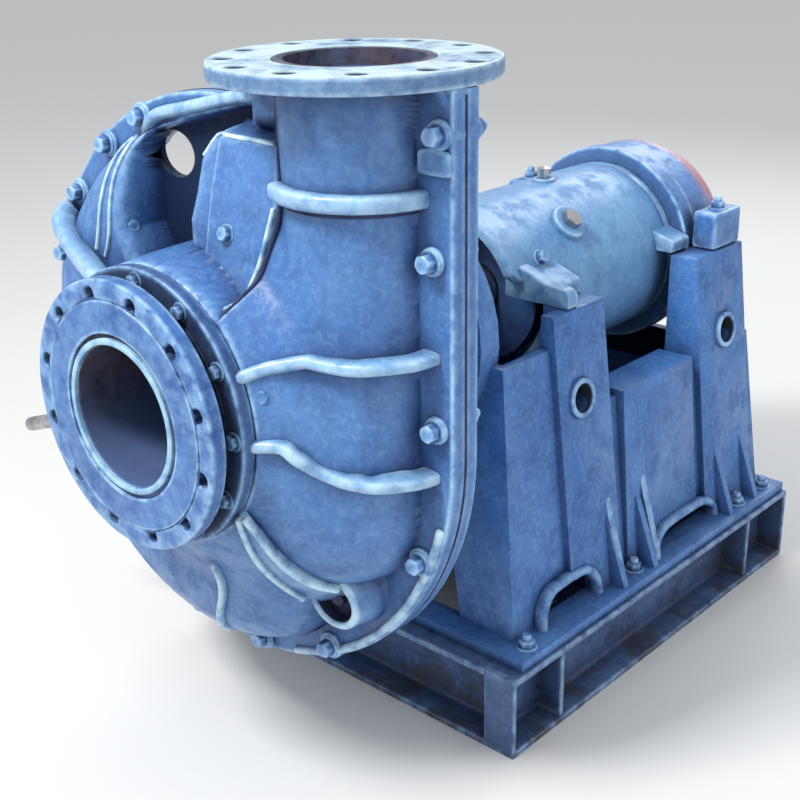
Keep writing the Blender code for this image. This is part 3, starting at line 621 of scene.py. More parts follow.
# the inside: the volute's hollow and the leg's half bore, kept a wall away from the outside
def innerDepth(x, z, outer):
    hollow = body.cavityDepth * roundedRise((body.cavityRadius - np.hypot(x - cx, z - cz)) / 0.10, 2.2)
    bore = np.sqrt(np.maximum(body.boreRadius ** 2 - (x - body.boreCentre) ** 2, 0)) * (z > 0.02)
    return np.clip(np.minimum(np.maximum(hollow, bore), outer - 0.018), 0, None)


# distance from the shaft to the joint's edge: the farther of the circle and the leg's rectangle
def jointReach(angle):
    c, s = np.cos(angle), np.sin(angle)
    along = c * cx + s * cz
    circle = along + np.sqrt(along ** 2 - cx ** 2 - cz ** 2 + body.jointRadius ** 2)
    box = np.minimum(body.legRight / np.maximum(c, 1e-6), body.legTop / np.maximum(s, 1e-6))
    low, high = math.atan2(cz, body.legRight), math.atan2(body.legTop, body.legLeft)
    share = eased((high + 0.006 - angle) / 0.012) * (angle > low)
    return circle + (np.maximum(box, circle) - circle) * share


# one casing half: columns run from the boss ring out to the joint's edge, over its rounded rim, down
# to the joint's plane and back inside; the depth at each place is outerDepth, then innerDepth
def casingHalf(way, columns, rows, innerRows, ringRadius):
    fine = np.linspace(-180, 180, 7201)
    crowd = 1 + 0.9 * eased((fine - 36) / 8) * eased((158 - fine) / 8) + 25 * np.exp(-((fine - 86.9) / 0.35) ** 2)
    total = np.concatenate([[0], np.cumsum((crowd[1:] + crowd[:-1]) / 2)])
    angle = np.radians(np.interp(np.linspace(0, total[-1], columns, endpoint=False), total, fine))
    reach, c, s = jointReach(angle), np.cos(angle), np.sin(angle)
    edge = body.rimEdge
    faceRadius = ringRadius + (reach - edge - ringRadius) * np.linspace(0, 1, rows)[:, None]
    faceDepth = outerDepth(faceRadius * c, faceRadius * s, way)
    turn = np.linspace(0, np.pi / 2, 4)[1:, None]
    rimDepth = faceDepth[-1] - edge * (1 - np.cos(turn))
    backRadius = reach + (ringRadius - reach) * np.linspace(0, 1, innerRows)[1:, None]
    backX, backZ = backRadius * c, backRadius * s
    radius = np.concatenate([faceRadius, reach - edge + edge * np.sin(turn), np.repeat(reach[None], 4, 0), backRadius])
    depth = np.concatenate([faceDepth, rimDepth, np.linspace(1, 0, 5)[1:, None] * rimDepth[-1],
                            innerDepth(backX, backZ, outerDepth(backX, backZ, way))])
    return gridShape(np.stack([radius * c, splitY + way * (depth + halfGap), shaftZ + radius * s], -1), closeRows=True)


# the outward direction at a place on the casing: (-dd/dx, 1, -dd/dz) turned towards the half's side
def casingNormal(x, z, way=-1):
    step = 0.006
    dx = (outerDepth(x + step, z, way) - outerDepth(x - step, z, way)) / (2 * step)
    dz = (outerDepth(x, z + step, way) - outerDepth(x, z - step, way)) / (2 * step)
    return unit(np.stack([-dx, np.full_like(dx, way), -dz], -1))


# rows of (x, z, depth) as places in the scene
def casingPoints(line, way=-1):
    x, z, depth = np.array(line, float).T
    return np.stack([x, splitY + way * depth, shaftZ + z], 1)


# places at a radius from the volute's centre, by the angle in degrees
def onVolute(radius, degrees):
    turn = np.radians(degrees)
    return cx + radius * np.cos(turn), cz + radius * np.sin(turn)


# painted shade: how black a part of the casing is painted where shade falls: the pocket's floor, the inside and the
# eye's wall
def storeSoot(mesh, way):
    x, y, z = readValues(mesh.vertices, "co").T
    z, depth = z - shaftZ, np.abs(y - splitY)
    inPocket = insideBy(pocketCorners[way], x, z)
    floorSoot = eased((inPocket - 0.004) / 0.010) * eased((0.030 - depth) / 0.015)
    rimward = jointReach(np.arctan2(z, x)) - np.hypot(x, z)
    inside = (depth < outerDepth(x, z, way) - 0.015) & (rimward > 0.012) & (inPocket < 0)
    aroundEye = np.hypot((x - eyeX) / body.eyeStretch, z - eyeZ) - body.eyeRadius
    eyeSoot = eased((0.014 - aroundEye) / 0.008) * eased((0.034 - depth) / 0.008)
    storeValues(mesh, "soot", 0.93 * np.maximum(np.maximum(floorSoot, inside), eyeSoot))


eyeSteps = 40
eyePoints, eyeQuads, _ = turnedShape([(body.eyeRadius, -0.3), (body.eyeRadius, 0.3)], (eyeX, splitY, shaftZ + eyeZ),
                                     "y", eyeSteps, closed=False)
eyePoints[:, 0] = eyeX + body.eyeStretch * (eyePoints[:, 0] - eyeX)
eyeEnds = [np.arange(eyeSteps), np.arange(eyeSteps, 2 * eyeSteps)]
eyeCutter = newObject("eyeCutter", newMesh("eyeCutter", [(eyePoints, eyeQuads, eyeEnds)], 40))
for way, name, columns, rows, innerRows, ringRadius, node in (
        (-1, "suctionHalf", 520, 138, 30, 0.2062, "suction_casing_half"),
        (1, "driveHalf", 330, 84, 22, 0.1312, "drive_casing_half")):
    half = makePiece(name, [casingHalf(way, columns, rows, innerRows, ringRadius)], "casing", "casing_paint",
                     [node], 60, eyeCutter)
    storeSoot(half.data, way)
bpy.data.objects.remove(eyeCutter)
print("casing halves made")

# belts and ribs, each as (x, z, depth) along its crest
beltLines = {
    "mid": mm((234, 108, 238), (262, 122, 225), (305, 132, 190), (334, 128, 178), (374, 128, 170), (403, 128, 157),
              (424, 128, 134), (442, 128, 107), (458, 128, 77), (464, 128, 34)),
    "low": mm((258, -12, 238), (300, -10, 235), (325, -30, 222), (339, -55, 190), (369, -68, 175), (399, -73, 159),
              (423, -78, 137), (441, -81, 108), (455, -84, 75), (463, -85, 34)),
    "left": mm((-225, 160, 205), (-242, 168, 200), (-350, 172, 155), (-430, 195, 130), (-484, 225, 110),
               (-510, 247, 70), (-513, 257, 34)),
    "foot": mm((55, -330, 165), (40, -400, 145), (10, -470, 110), (-10, -520, 70), (-17, -575, 34)),
    "lip": mm((-262, 398, 36), (-246, 428, 34), (-205, 453, 33), (-130, 470, 33), (-50, 489, 33), (20, 504, 35),
              (70, 512, 38)),
    "strap": mm((208, -152, 232), (212, -185, 218), (217, -225, 200), (226, -270, 175), (236, -310, 146),
                (246, -338, 114)),
}
sections = dict(
    belt=roundSection(0.024, 0.044, 14, 3.0, -0.022), rib=roundSection(0.034, 0.050, 14, 2.6, -0.022),
    thin=roundSection(0.014, 0.034, 12, 2.6, -0.016), collar=roundSection(0.030, 0.030, 14, 3.0, -0.008),
    lip=roundSection(0.025, 0.034, 14, 2.4), strapBead=roundSection(0.013, 0.018, 12, 2.4),
    bead=roundSection(0.008, 0.012, 12, 2.4), rim=roundSection(0.016, 0.018, 12, 2.4),
    seam=roundSection(0.006, 0.009, 10, 2.2), collarSeam=roundSection(0.010, 0.006, 10, 2.2),
    joint=roundSection(0.003, 0.006, 8, 2.2), arch=roundSection(0.022, 0.030, 12, 2.4, -0.006),
)
rows = 44


# a belt lies on the casing along its crest line; its up is the casing's outward direction, evened out
def casingBelt(line, section, way=-1):
    path = smoothPath(line, rows)
    surface = outerDepth(path[:, 0], path[:, 1], way)
    crest = np.maximum(path[:, 2], surface + 0.014) if way < 0 else surface + 0.018
    path[:, 2] = np.where(path[:, 2] > 0.06, crest, path[:, 2])
    path[2:-2, 2] = sum(path[k:k + rows - 4, 2] for k in range(5)) / 5
    up = evened(casingNormal(path[:, 0], path[:, 1], way), 3)
    return sweptShape(casingPoints(path, way), up, sections[section])


# an arc round the leg at a height, from one angle to another in degrees
def ringAround(radius, section, z, start, end, way, count, lift):
    t = np.radians(np.linspace(start, end, count))
    line = np.column_stack([body.legCentre + radius * np.cos(t), np.full(count, z), radius * np.sin(t) + lift])
    up = np.stack([np.cos(t), way * np.sin(t), np.zeros(count)], 1)
    return sweptShape(casingPoints(line, way), up, sections[section])


# a thin bead that follows the casing's face under a line of (x, z)
def faceBead(line, section, lift=0.0):
    path = smoothPath(np.column_stack([line, np.zeros(len(line))]), 40)
    path[:, 2] = evened(outerDepth(path[:, 0], path[:, 1]) + lift, 3)
    return sweptShape(casingPoints(path), (0, -1, 0), sections[section])


collar = dict(radius=0.152, z=0.385, lift=0.012, tabFrom=0.010, tabTo=0.041,
              tab=((425, 425), (489.5, 425), (489.5, 462), (455, 470), (425, 462)))
frontRibs = [casingBelt(beltLines[key], section)
             for key, section in (("mid", "belt"), ("low", "belt"), ("left", "rib"), ("foot", "thin"))]
frontRibs.append(ringAround(collar["radius"], "collar", collar["z"], 6, 123, -1, 60, collar["lift"]))
collarTab = extruded(softened(mm(*collar["tab"]), 0.008), collar["tabFrom"] - splitY, collar["tabTo"] - splitY,
                     ((0, 0, shaftZ), (1, 0, 0), (0, 0, 1), (0, -1, 0)), 0.004)
# the lip over the pocket fades out at its far end
lipRows = 54
lipSize = np.interp(np.arange(lipRows), [0, 12], [0.22, 1.0])[:, None]
lipPath = casingPoints(smoothPath(beltLines["lip"], lipRows))
frontRibs.append(sweptShape(lipPath, (0, -1, 0), sections["lip"], lipSize))
# strap from the boss down to the lug near the rim: a plate with a bead on both sides
strap = dict(lift=0.006, halfWidth=0.022, beadAt=0.0195, beadLift=0.007,
             widths=((0, 0.34), (0.15, 0.60), (0.55, 1.25), (0.85, 1.95), (1, 2.25)))
strapLine = smoothPath(beltLines["strap"], rows)
strapX, strapZ, strapDepth = strapLine.T
strapLine[:, 2] = np.maximum(strapDepth, outerDepth(strapX, strapZ) + strap["lift"])
strapWidth = readTable(np.linspace(0, 1, rows), strap["widths"])
strapUp = evened(casingNormal(strapX, strapZ), 8)
strapFlat = strap["halfWidth"] * np.array([(-1, -2.7), (-1, 0.15), (-0.85, 0.35), (0.85, 0.35), (1, 0.15), (1, -2.7)])
strapPath = casingPoints(strapLine)
strapPlate = sweptShape(strapPath, strapUp, strapFlat, np.stack([strapWidth, np.ones(rows)], 1))
strapSide = unit(np.cross(np.gradient(strapPath, axis=0), strapUp))
for side in (-1, 1):
    beadPath = strapPath + side * strap["beadAt"] * strapWidth[:, None] * strapSide + strap["beadLift"] * strapUp
    frontRibs.append(sweptShape(beadPath, strapUp, sections["strapBead"]))
# the lug's body, its pale rim (rib paint, painted highlight) and a dark cup in its hollow (painted shade), as (radius,
# height over its base)
lug = dict(
    base=(0.258, -0.352, -0.004), normal=(0.06, -1.0, -0.10), boltFrom=0.082, boltRadius=0.017, boltHeight=0.014,
    body=((92, 20), (74, 45), (64, 75), (58, 100), (50, 102), (50, 20)),
    rim=((57.5, 94), (57.5, 105), (54, 108.5), (47, 108.5), (43.5, 105), (43.5, 94)),
    hollow=((0, 82), (42.5, 82), (43, 103.5), (45.2, 103.5), (45.2, 78), (0, 78)),
)
lugNormal, lugBase = unit(lug["normal"]), casingPoints([lug["base"]])[0]
lugSide = unit(np.cross(lugNormal, (0, 0, 1.0)))
lugBody, lugRim, lugHollow = (
    turnedShape(mm(*lug[part]), lugBase, (lugSide, np.cross(lugNormal, lugSide), lugNormal), 48)
    for part in ("body", "rim", "hollow"))
frontRibs.append(lugRim)
lugBolt = fasteners(lugBase + lug["boltFrom"] * lugNormal, lugNormal, lug["boltRadius"], lug["boltHeight"])
# beads on the pad's slanting side and its top, and two on the volute's face by the pocket
beads = (
    ((198, 353), (185, 290), (172, 235), (160, 196)),
    ((-18, 408), (0, 432), (28, 449), (100, 452), (178, 452)),
    ((-268, 405), (-283, 350), (-292, 290), (-300, 230), (-318, 180)),
    ((-300, 395), (-314, 345), (-326, 290), (-334, 240), (-345, 190)),
)
frontRibs += [faceBead(mm(*line), "bead") for line in beads]
rimX, rimZ = onVolute(0.541, np.linspace(-74, -14, 50))
rimLine = np.column_stack([rimX, rimZ, np.full_like(rimX, body.jointDepth)])
frontRibs.append(sweptShape(casingPoints(rimLine), (0, -1, 0), sections["rim"]))
# dark lines of painted shade in the corners: two beside the pad, one under the collar
seams = (((209.5, 362), (196, 295), (183, 240), (170, 186)), ((176, 548), (182, 500), (190, 455), (203, 398)))
seamParts = [faceBead(mm(*line), "seam", 0.001) for line in seams]
seamParts.append(ringAround(body.legRadius + 0.0015, "collarSeam", collar["z"] - 0.019, 8, 118, -1, 50, body.legLift))
# the line between the halves, round the volute's edge on both sides of the leg
for start, end in ((-175, 48), (90, 184)):
    turn = np.radians(np.linspace(start, end, 160))
    reach = jointReach(turn - 2 * np.pi * (turn > np.pi))
    line = np.column_stack([reach * np.cos(turn), reach * np.sin(turn), np.zeros_like(turn)])
    seamParts.append(sweptShape(casingPoints(line), (0, -1, 0), sections["joint"]))
# the lug's dark cup and bolt are painted shade in its hollow
makePiece("casingSeamsAndShade", seamParts + [lugHollow, lugBolt], "seam", "casing_paint", sharpDegrees=60)
# ribs, beads and lips in the lighter rib paint: painted highlight
makePiece("suctionRibs", frontRibs, "rib", "casing_paint", sharpDegrees=50)

# the drive half has two belts, and ribs that run out from the volute's centre at these bearings
fan = dict(bearings=(152, 195, 238, 280, 318), reach=(0.30, 0.36, 0.42, 0.46, 0.487, 0.505, 0.512),
           depth=(0.190, 0.170, 0.158, 0.138, 0.110, 0.070, 0.034))
driveRibs = [casingBelt(beltLines[key][3:], "belt", 1) for key in ("mid", "low")]
driveRibs += [casingBelt(np.column_stack([*onVolute(np.array(fan["reach"]), bearing), fan["depth"]]), "rib", 1)
              for bearing in fan["bearings"]]
driveRibs.append(ringAround(collar["radius"], "collar", collar["z"], 8, 172, 1, 60, collar["lift"]))
# the drive half's ribs in the lighter rib paint: painted highlight
makePiece("driveRibs", driveRibs, "rib", "casing_paint", sharpDegrees=50)

# joint bolts: bosses and heads on the front rim, nuts behind it
jointBolts = dict(
    right=((0.467, 0.488), (0.451, 0.289), (0.457, 0.005), (0.420, -0.253)), rimRadius=0.530,
    bearings=(-62, -84, -104, -124, -144, -163, 178, 160, 143, 126, 112), radius=0.0165, height=0.022,
    boss=0.027, narrowBoss=0.024, frontDepth=0.040, rearDepth=0.038, smallRadius=0.013, smallHeight=0.014,
    small=((0.090, 0.297, 0.144), (0.25, 0.07, 0.222), (-0.272, 0.24, 0.075)),
    smallNormals=((0, -1, 0.25), (0.35, -1, 0.1), (1, -0.2, 0.2)),
)
onRim = np.stack(onVolute(jointBolts["rimRadius"], jointBolts["bearings"]), 1)
spots = np.concatenate([jointBolts["right"], onRim])
jointSides = ((-1, "-y", "bolt", jointBolts["frontDepth"]), (1, "y", "nut", jointBolts["rearDepth"]))
bossShapes, boltShapes = [strapPlate, lugBody, collarTab], []
for x, z in spots:
    for way, axis, kind, depth in jointSides:
        radius = jointBolts["boss"] if way < 0 and x < 0.45 else jointBolts["narrowBoss"]
        bossShapes.append(turnedShape([(radius, 0.0), (radius, depth), (0.0, depth)], (x, splitY, shaftZ + z), axis, 28,
                                      cut=0.004, closed=False))
for way, axis, kind, depth in jointSides:
    places = casingPoints(np.column_stack([spots, np.full(len(spots), depth)]), way)
    boltShapes.append(fasteners(places, (0, way, 0), jointBolts["radius"], jointBolts["height"], kind))
makePiece("jointBosses", bossShapes, "casing", "casing_paint", sharpDegrees=50)
boltShapes.append(fasteners(casingPoints(jointBolts["small"]), jointBolts["smallNormals"],
                            jointBolts["smallRadius"], jointBolts["smallHeight"]))
makePiece("jointBolts", boltShapes, "bolt", "casing_paint", sharpDegrees=35)
print("casing ribs and bolts made")

suction = dict(face=-0.580, thickness=0.030, inner=0.2055, outer=0.2415, circle=0.216, hole=0.013, holes=12)
cover = dict(outer=0.250, near=0.057, far=0.084, nuts=12, circle=0.2285, nutRadius=0.0125, nutHeight=0.013)
flangePlace = np.array((0, suction["face"], shaftZ))
flangeShape = drilledRing(flangePlace, "y", suction, 0.004)
makePiece("suctionFlange", [flangeShape], "flange", "casing_paint", ["suction_flange"])
# the dark liner, the painted face before it and the bright lip at the bore, as (radius, depth)
for name, profile, steps, cut, finish, slotName, replaced in (
        ("throatLiner", ((126.5, 5), (151.5, 5), (151.5, 260), (126.5, 260)), 96, 0.002, "liner", "liner_iron",
         ["throat_liner"]),
        ("suctionFace", ((148, 4), (148, -0.6), (149.5, -1.6), (204.5, -1.2), (205.3, -0.4), (205.3, 4)), 120, 0,
         "flange", "casing_paint", ()),
        ("boreLip", ((128.5, 6), (128.5, -2), (130, -3), (137.5, -3), (139.5, -1.6), (139.5, 6)), 120, 0,
         "housing", "casing_paint", ())):
    makePiece(name, [turnedShape(mm(*profile), flangePlace, "y", steps, cut)], finish, slotName, replaced)
near, far = cover["near"], cover["far"]
coverShape = turnedShape([(suction["inner"], near), (cover["outer"], near), (cover["outer"], far),
                          (suction["inner"], far)], flangePlace, "y", 120, cut=0.004)
out, side, along = np.array(axes["y"], float)
nutRing = cover["circle"] * circleOf(2 * np.pi * np.arange(cover["nuts"]) / cover["nuts"], out, side)
coverNuts = fasteners(flangePlace + nutRing + near * along, -along, cover["nutRadius"], cover["nutHeight"])
makePiece("throatCover", [coverShape, coverNuts], "shade", "casing_paint", ["throat_cover"])

discharge = dict(x=0.26, thickness=0.030, inner=0.132, outer=0.238, circle=0.209, hole=0.0165, holes=12)
dischargePlace = np.array((discharge["x"], splitY, flangeTop - discharge["thickness"]))
topFlange = makePiece("dischargeFlange", [drilledRing(dischargePlace, "z", discharge, 0.005)], "discharge",
                      "discharge_paint", ["discharge_flange"])
# painted shade: the bolt holes' walls are painted black: points near a hole's middle, every sector turned to one
x, y, z = (readValues(topFlange.data.vertices, "co") - dischargePlace).T
sector = 2 * np.pi / discharge["holes"]
turn, reach = np.mod(np.arctan2(y, x), sector) - sector / 2, np.hypot(x, y)
fromHole = np.hypot(reach * np.cos(turn) - discharge["circle"], reach * np.sin(turn))
storeValues(topFlange.data, "soot", 0.95 * (fromHole < discharge["hole"] + 0.001))
print("flanges made")

housing = dict(radius=0.200, front=0.265, rear=0.870, lipBand=0.003, mouthBack=0.115, mouthHeight=0.095,
               mouthRun=0.075, bore=0.075, hoodBolt=(0.1725, 0.377, shaftZ + 0.0995))


# the housing's wall: rows are (radius, place along the shaft, 1 where it follows the mouth's edge),
# that edge being front + back * eased((height - z) / run) around the turn
def housingShape(steps=144):
    turn = 2 * np.pi * np.arange(steps) / steps
    r, band, bore = housing["radius"], housing["radius"] + housing["lipBand"], housing["bore"]
    front = housing["front"] + housing["mouthBack"] * eased((housing["mouthHeight"] - r * np.sin(turn))
                                                            / housing["mouthRun"])
    rows = [(0.1805, 0.004, 1), (0.184, 0, 1), (0.197, 0, 1), (band, 0.005, 1), (band, 0.022, 1), (r, 0.028, 1),
            (r, 0.46, 0), (r, 0.60, 0), (r, 0.72, 0), (r, 0.838, 0), (0.194, 0.842, 0), (0.194, 0.852, 0),
            (r, 0.856, 0), (r, 0.866, 0), (0.196, 0.870, 0), (bore, 0.870, 0), (bore, 0.430, 0), (0.080, 0.425, 0),
            (0.176, 0.425, 0), (0.1805, 0.421, 0)]
    radius, along, follows = (column[:, None] for column in np.array(rows).T)
    points = np.stack([radius * np.cos(turn), along + follows * front, shaftZ + radius * np.sin(turn)], -1)
    return gridShape(points, closeRows=True)


# the feet: from y, to y, and the outline in x and z
footSeat = 830.3
housingFeet = (
    (0.300, 0.334, ((140, footSeat), (302, footSeat), (302, 860), (290, 870), (240, 874), (200, 890), (140, 910))),
    (0.330, 0.420, ((140, footSeat), (248, footSeat), (248, 862), (205, 878), (140, 900))),
    (0.795, 0.869, ((140, footSeat), (240, footSeat), (240, 858), (200, 870), (140, 890))),
)
housingParts = [housingShape()]
for side in (-1, 1):
    for near, far, line in housingFeet:
        outline = softened([(side * x, z) for x, z in mm(*line)], 0.006, count=4)
        housingParts.append(extruded(outline, near, far, alongY, 0.004))
# round bosses for the filler plug and the breather
slant = math.sin(math.radians(45))
housingParts.append(turnedShape(mm((0, 150), (43, 150), (43, 190), (40, 211.5), (30, 212), (0, 212)),
                                (0, 0.515, shaftZ), ((0, 1, 0), (-slant, 0, slant), (slant, 0, slant)), 40,
                                cut=0.003, closed=False))
housingParts.append(turnedShape(mm((0, -20), (26, -20), (26, 8), (22, 10), (0, 10)), (0, 0.62, 0.996), "z", 32,
                                cut=0.002, closed=False))
x, y, z = housing["hoodBolt"]
hoodBolts = fasteners([(side * x, y, z) for side in (-1, 1)], [(side * 0.866, 0, 0.5) for side in (-1, 1)],
                      0.014, 0.016)
makePiece("hoodBolts", [hoodBolts], "bolt", "housing_paint", sharpDegrees=35)
makePiece("bearingHousing", housingParts, "housing", "housing_paint", ["bearing_housing"])
rearPlace = (0, housing["rear"] + 0.0003, shaftZ)
for name, profile, cut, finish, node in (
        ("rearFlange", ((75, 0), (235, 0), (235, 50), (228, 55), (75, 55)), 0.004, "casing", "bearing_flange_rear"),
        ("rearCover", ((58, 55.3), (231, 55.3), (231, 150), (224, 156), (224, 170), (214, 194), (205, 200), (120, 200),
                       (112, 192), (80, 192), (74, 198), (58, 198)), 0.003, "rearCover", "bearing_cover_rear")):
    makePiece(name, [turnedShape(mm(*profile), rearPlace, "y", 128, cut)], finish, "housing_paint", [node])
print("bearing housing made")

base = dict(half=0.44, front=-0.04, rear=1.09, height=0.18, depth=0.075, flange=0.013, web=0.009, plate=0.010,
            soft=0.003, root=0.010, stiffener=0.012, stiffeners=(0.125, 0.90))


def basePiece(name, node, outline, low, high, place, edge=0.0015):
    makePiece(name, [extruded(outline, low, high, place, edge)], "base", "base_paint", [node])


def rectangle(x0, x1, z0, z1, corner=0.003, count=3):
    low, high = sorted((x0, x1))
    return softened([(low, z0), (high, z0), (high, z1), (low, z1)], corner, count=count)


# the channel's section, its back at 0 and its lips at depth, with rounded lips and roots
depth, height, web, flange, soft, root = (base[key] for key in ("depth", "height", "web", "flange", "soft", "root"))
channel = softened([(0, 0), (depth, 0), (depth, flange), (web, flange + 0.002), (web, height - flange - 0.002),
                    (depth, height - flange), (depth, height), (0, height)],
                   [soft] * 3 + [root] * 2 + [soft] * 3, count=4)
inner, plate = base["half"] - depth, base["plate"]
for side, hand in ((1, "right"), (-1, "left")):
    basePiece("rail_" + hand, "base_rail_" + hand, channel, base["front"] + plate + 0.0003,
              base["rear"] - plate - 0.0003, ((side * inner, 0, 0), (side, 0, 0), (0, 0, 1), (0, 1, 0)))
    for end, y0 in (("front", base["front"]), ("rear", base["rear"] - plate)):
        basePiece("endPlate_%s_%s" % (end, hand), "base_end_plate_%s_%s" % (end, hand),
                  rectangle(side * inner, side * base["half"], 0, height), y0, y0 + plate, alongY)
    for end, y0 in zip(("front", "rear"), base["stiffeners"]):
        outline = rectangle(side * (inner + web + 0.0005), side * (base["half"] - 0.004), flange + 0.0005,
                            height - flange - 0.0005)
        basePiece("stiffener_%s_%s" % (end, hand), "base_stiffener_%s_%s" % (end, hand), outline, y0,
                  y0 + base["stiffener"], alongY, 0.002)
for end, y0, way in (("front", base["front"] + depth, -1), ("rear", base["rear"] - depth, 1)):
    basePiece(end + "Beam", "base_%s_beam" % end, channel, 0.0003 - inner, inner - 0.0003,
              ((0, y0, 0), (0, way, 0), (0, 0, 1), (1, 0, 0)))
print("base made")

pedestal = dict(
    edge=0.005, segments=2, footTop=0.2023, wallX=0.370, wallLean=0.126,
    boltPlaces=((0.055, 0.398), (0.462, 0.388), (0.905, 0.398), (1.03, 0.398)),
    holes=((0.318, 0.645, 0.337), (0.903, 0.640, 0.338)), arches=((0.13, 0.33, 0.065), (0.56, 0.82, 0.045)),
    fins=((0.390, 0.455), (0.530, 0.450), (0.968, 0.365)),
)
clamp = dict(inner=0.241, outer=0.301, near=0.876, far=0.995, low=0.8303, high=0.915, bolt=(0.271, 0.935))
stand = newObject("pedestalStand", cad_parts["pedestal"].data.copy())
tidyMesh(stand.data, 30)
flat = bmesh.new()
flat.from_mesh(stand.data)
bmesh.ops.dissolve_limit(flat, angle_limit=math.radians(1.0), verts=flat.verts, edges=flat.edges)
for place, way in (((0.352, 0, 0), (1, 0, 0)), ((-0.352, 0, 0), (1, 0, 0)), ((0, 0.10, 0), (0, 1, 0)),
                   ((0, 1.02, 0), (0, 1, 0))):
    bmesh.ops.bisect_plane(flat, geom=flat.verts[:] + flat.edges[:] + flat.faces[:], plane_co=place, plane_no=way)
flat.to_mesh(stand.data)
flat.free()
rounding = stand.modifiers.new("rounding", "BEVEL")
rounding.width, rounding.segments, rounding.limit_method = pedestal["edge"], pedestal["segments"], "ANGLE"
rounding.angle_limit = math.radians(35)
rounding.use_clamp_overlap = True
workIn(stand, 45)
storeCurvature(stand.data)


# how far the stand's sloping side wall lies from the middle at a height
def wallAt(z):
    return pedestal["wallX"] - pedestal["wallLean"] * (z - 0.18)


# painted shade: the stand's inside is painted black: faces whose middle is well inside the sloping walls
x, y, z = readValues(stand.data.polygons, "center").T
facing = readValues(stand.data.polygons, "normal")[:, 2]
inside = (np.abs(x) < wallAt(z) - 0.030) & (y > 0.10) & (y < 1.02) & (z > 0.19) & (z < 0.74)
storeValues(stand.data, "soot", 0.92 * (inside & ((facing < 0.5) | (z < 0.25))), "FACE")
dress(stand, "pedestal", "pedestal_paint", ["pedestal"])

standParts, sleeves, standBolts = [], [], []
footTop = pedestal["footTop"]
for side in (-1, 1):
    lean = unit((side, 0, 0.13))
    rings = ((0, 1, 0), np.cross(lean, (0, 1, 0)), lean)
    for y, z, x in pedestal["holes"]:
        standParts.append(turnedShape(mm((31.2, -30), (42, -30), (42, -2), (38, 1), (34, 1), (31.2, -1)),
                                      (side * x, y, z), rings, 40))
        # painted shade: a dark closed sleeve inside each post hole
        sleeves.append(turnedShape(mm((0, -45), (31.4, -45), (31.4, -4), (30, -4), (30, -42), (0, -42)),
                                   (side * x, y, z), rings, 40, closed=False))
    # raised lips over the foot's arches
    for near, far, high in pedestal["arches"]:
        rise = ((-0.002, -0.004), (0.006, high * 0.55), (0.035, high), (0.08, high + 0.006))
        line = smoothPath([(near + run, footTop + up) for run, up in rise]
                          + [(far - run, footTop + up) for run, up in rise[::-1]], 48)
        path = np.stack([side * (0.386 - 0.150 * (line[:, 1] - 0.20)), line[:, 0], line[:, 1]], 1)
        standParts.append(sweptShape(path, (side, 0, 0.1), sections["arch"]))
    # slanting fins from the wall down to the foot
    for y, high in pedestal["fins"]:
        top = wallAt(high)
        fin = ((0.300, 0.200), (0.412, 0.200), (0.412, 0.216), (top + 0.006, high), (top - 0.010, high),
               (0.300, high - 0.02))
        outline = softened([(side * x, z) for x, z in fin], 0.006, count=3)
        standParts.append(extruded(outline, y - 0.0095, y + 0.0095, alongY, 0.004))
    standBolts += [(side * x, y, footTop) for y, x in pedestal["boltPlaces"]]
makePiece("pedestalTrim", standParts, "pedestal", "pedestal_paint", sharpDegrees=50)
makePiece("postSockets", sleeves, "socket", "pedestal_paint")
for side, hand in ((-1, "left"), (1, "right")):
    outline = rectangle(side * clamp["inner"], side * clamp["outer"], clamp["near"], clamp["far"], 0.010, 4)
    cap = extruded(outline, clamp["low"], clamp["high"], ((0, 0, 0), *axes["z"]), 0.006)
    x, y = clamp["bolt"]
    capBolt = fasteners((side * x, y, clamp["high"]), (0, 0, 1), 0.016, 0.020, "nut")
    makePiece("clampCap_" + hand, [cap, capBolt], "pedestal", "pedestal_paint", ["clamp_cap_" + hand])
makePiece("pedestalBolts", [fasteners(standBolts, (0, 0, 1), 0.017, 0.020, "nut")], "bolt", "pedestal_paint",
          sharpDegrees=35)
print("pedestal made")

light = dict(skyColour=(0.95, 0.97, 1.0), skyStrength=0.76, floorColour=(0.66, 0.66, 0.65))
floorMesh = bpy.data.meshes.new("floor")
floorMesh.from_pydata([(-30, -30, 0), (30, -30, 0), (30, 30, 0), (-30, 30, 0)], [], [(0, 1, 2, 3)])
pale = startFinish("paleFloor", light["floorColour"])
pale.put(pale.shader.inputs["Base Color"], light["floorColour"])
pale.put(pale.shader.inputs["Roughness"], 0.85)
floorMesh.materials.append(pale.made)
newObject("floor", floorMesh)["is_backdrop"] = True
world = bpy.data.worlds.new("sky")
bpy.context.scene.world = world
world.use_nodes = True
sky = world.node_tree.nodes["Background"].inputs
sky["Color"].default_value = (*light["skyColour"], 1)
sky["Strength"].default_value = light["skyStrength"]

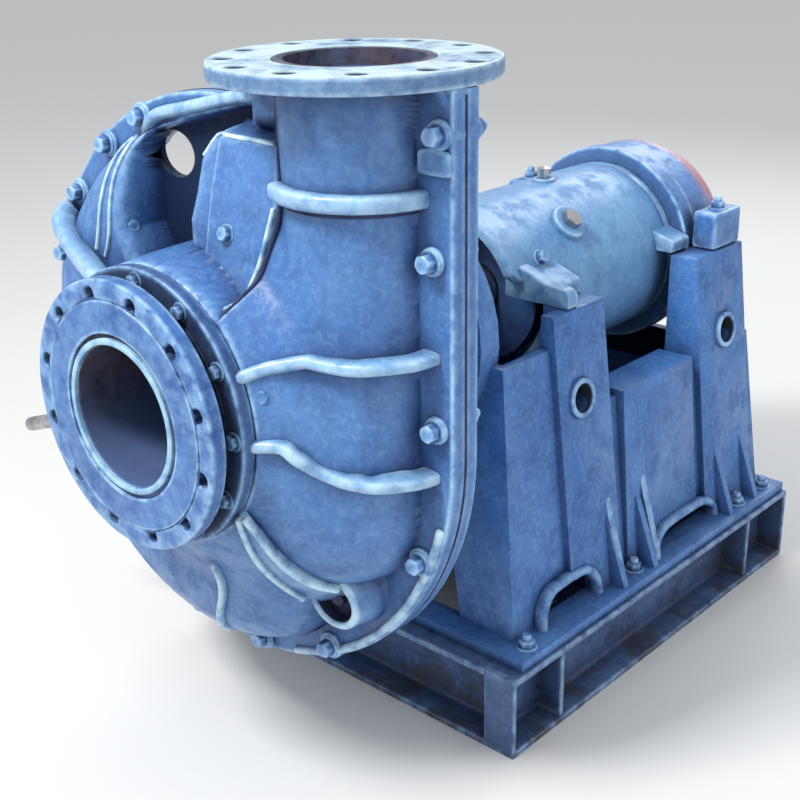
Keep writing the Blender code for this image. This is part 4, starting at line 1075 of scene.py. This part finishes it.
lamps = {
    "key": dict(place=(-0.6, -3.0, 4.8), aim=(0, 0, 0.7), size=1.1, power=275, colour=(1.0, 0.99, 0.97)),
    "side": dict(place=(4.4, -0.6, 2.4), aim=(0, 0.2, 0.7), size=2.0, power=42, colour=(0.96, 0.98, 1.0)),
    "back": dict(place=(-1.0, 4.5, 3.6), aim=(0, 0.2, 0.7), size=2.5, power=75, colour=(0.95, 0.97, 1.0)),
}
for name, lamp in lamps.items():
    data = bpy.data.lights.new(name, "AREA")
    data.size, data.energy, data.color = lamp["size"], lamp["power"], lamp["colour"]
    made = newObject(name, data)
    made.location = lamp["place"]
    made.rotation_mode = "QUATERNION"
    made.rotation_quaternion = (Vector(lamp["aim"]) - Vector(lamp["place"])).to_track_quat("-Z", "Y")
    made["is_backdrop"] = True

photoCamera = dict(place=(1.74, -1.764, 1.649), azimuth=42.831, elevation=21.917, roll=-1.12, pixels=1301.767,
                   middle=(396.55, 399.12), width=800, sensor=36)
azimuth, elevation, roll = (math.radians(photoCamera[key]) for key in ("azimuth", "elevation", "roll"))
back = Vector((math.sin(azimuth) * math.cos(elevation), -math.cos(azimuth) * math.cos(elevation), math.sin(elevation)))
right = Vector((math.cos(azimuth), math.sin(azimuth), 0))
up = back.cross(right)
cameraData = bpy.data.cameras.new("photoCamera")
width, (middleX, middleY) = photoCamera["width"], photoCamera["middle"]
cameraData.sensor_width = photoCamera["sensor"]
cameraData.lens = photoCamera["pixels"] / width * photoCamera["sensor"]
cameraData.shift_x, cameraData.shift_y = (width / 2 - middleX) / width, (middleY - width / 2) / width
cameraData.clip_start, cameraData.clip_end = 0.05, 100
camera = newObject("photoCamera", cameraData)
matrix = Matrix((math.cos(roll) * right + math.sin(roll) * up, -math.sin(roll) * right + math.cos(roll) * up, back))
matrix = matrix.transposed().to_4x4()
matrix.translation = Vector(photoCamera["place"])
camera.matrix_world = matrix
bpy.context.scene.camera = camera
bpy.context.scene.view_settings.view_transform = "Standard"
print("light and camera set")

pieceBox = [list(corner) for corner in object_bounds()]
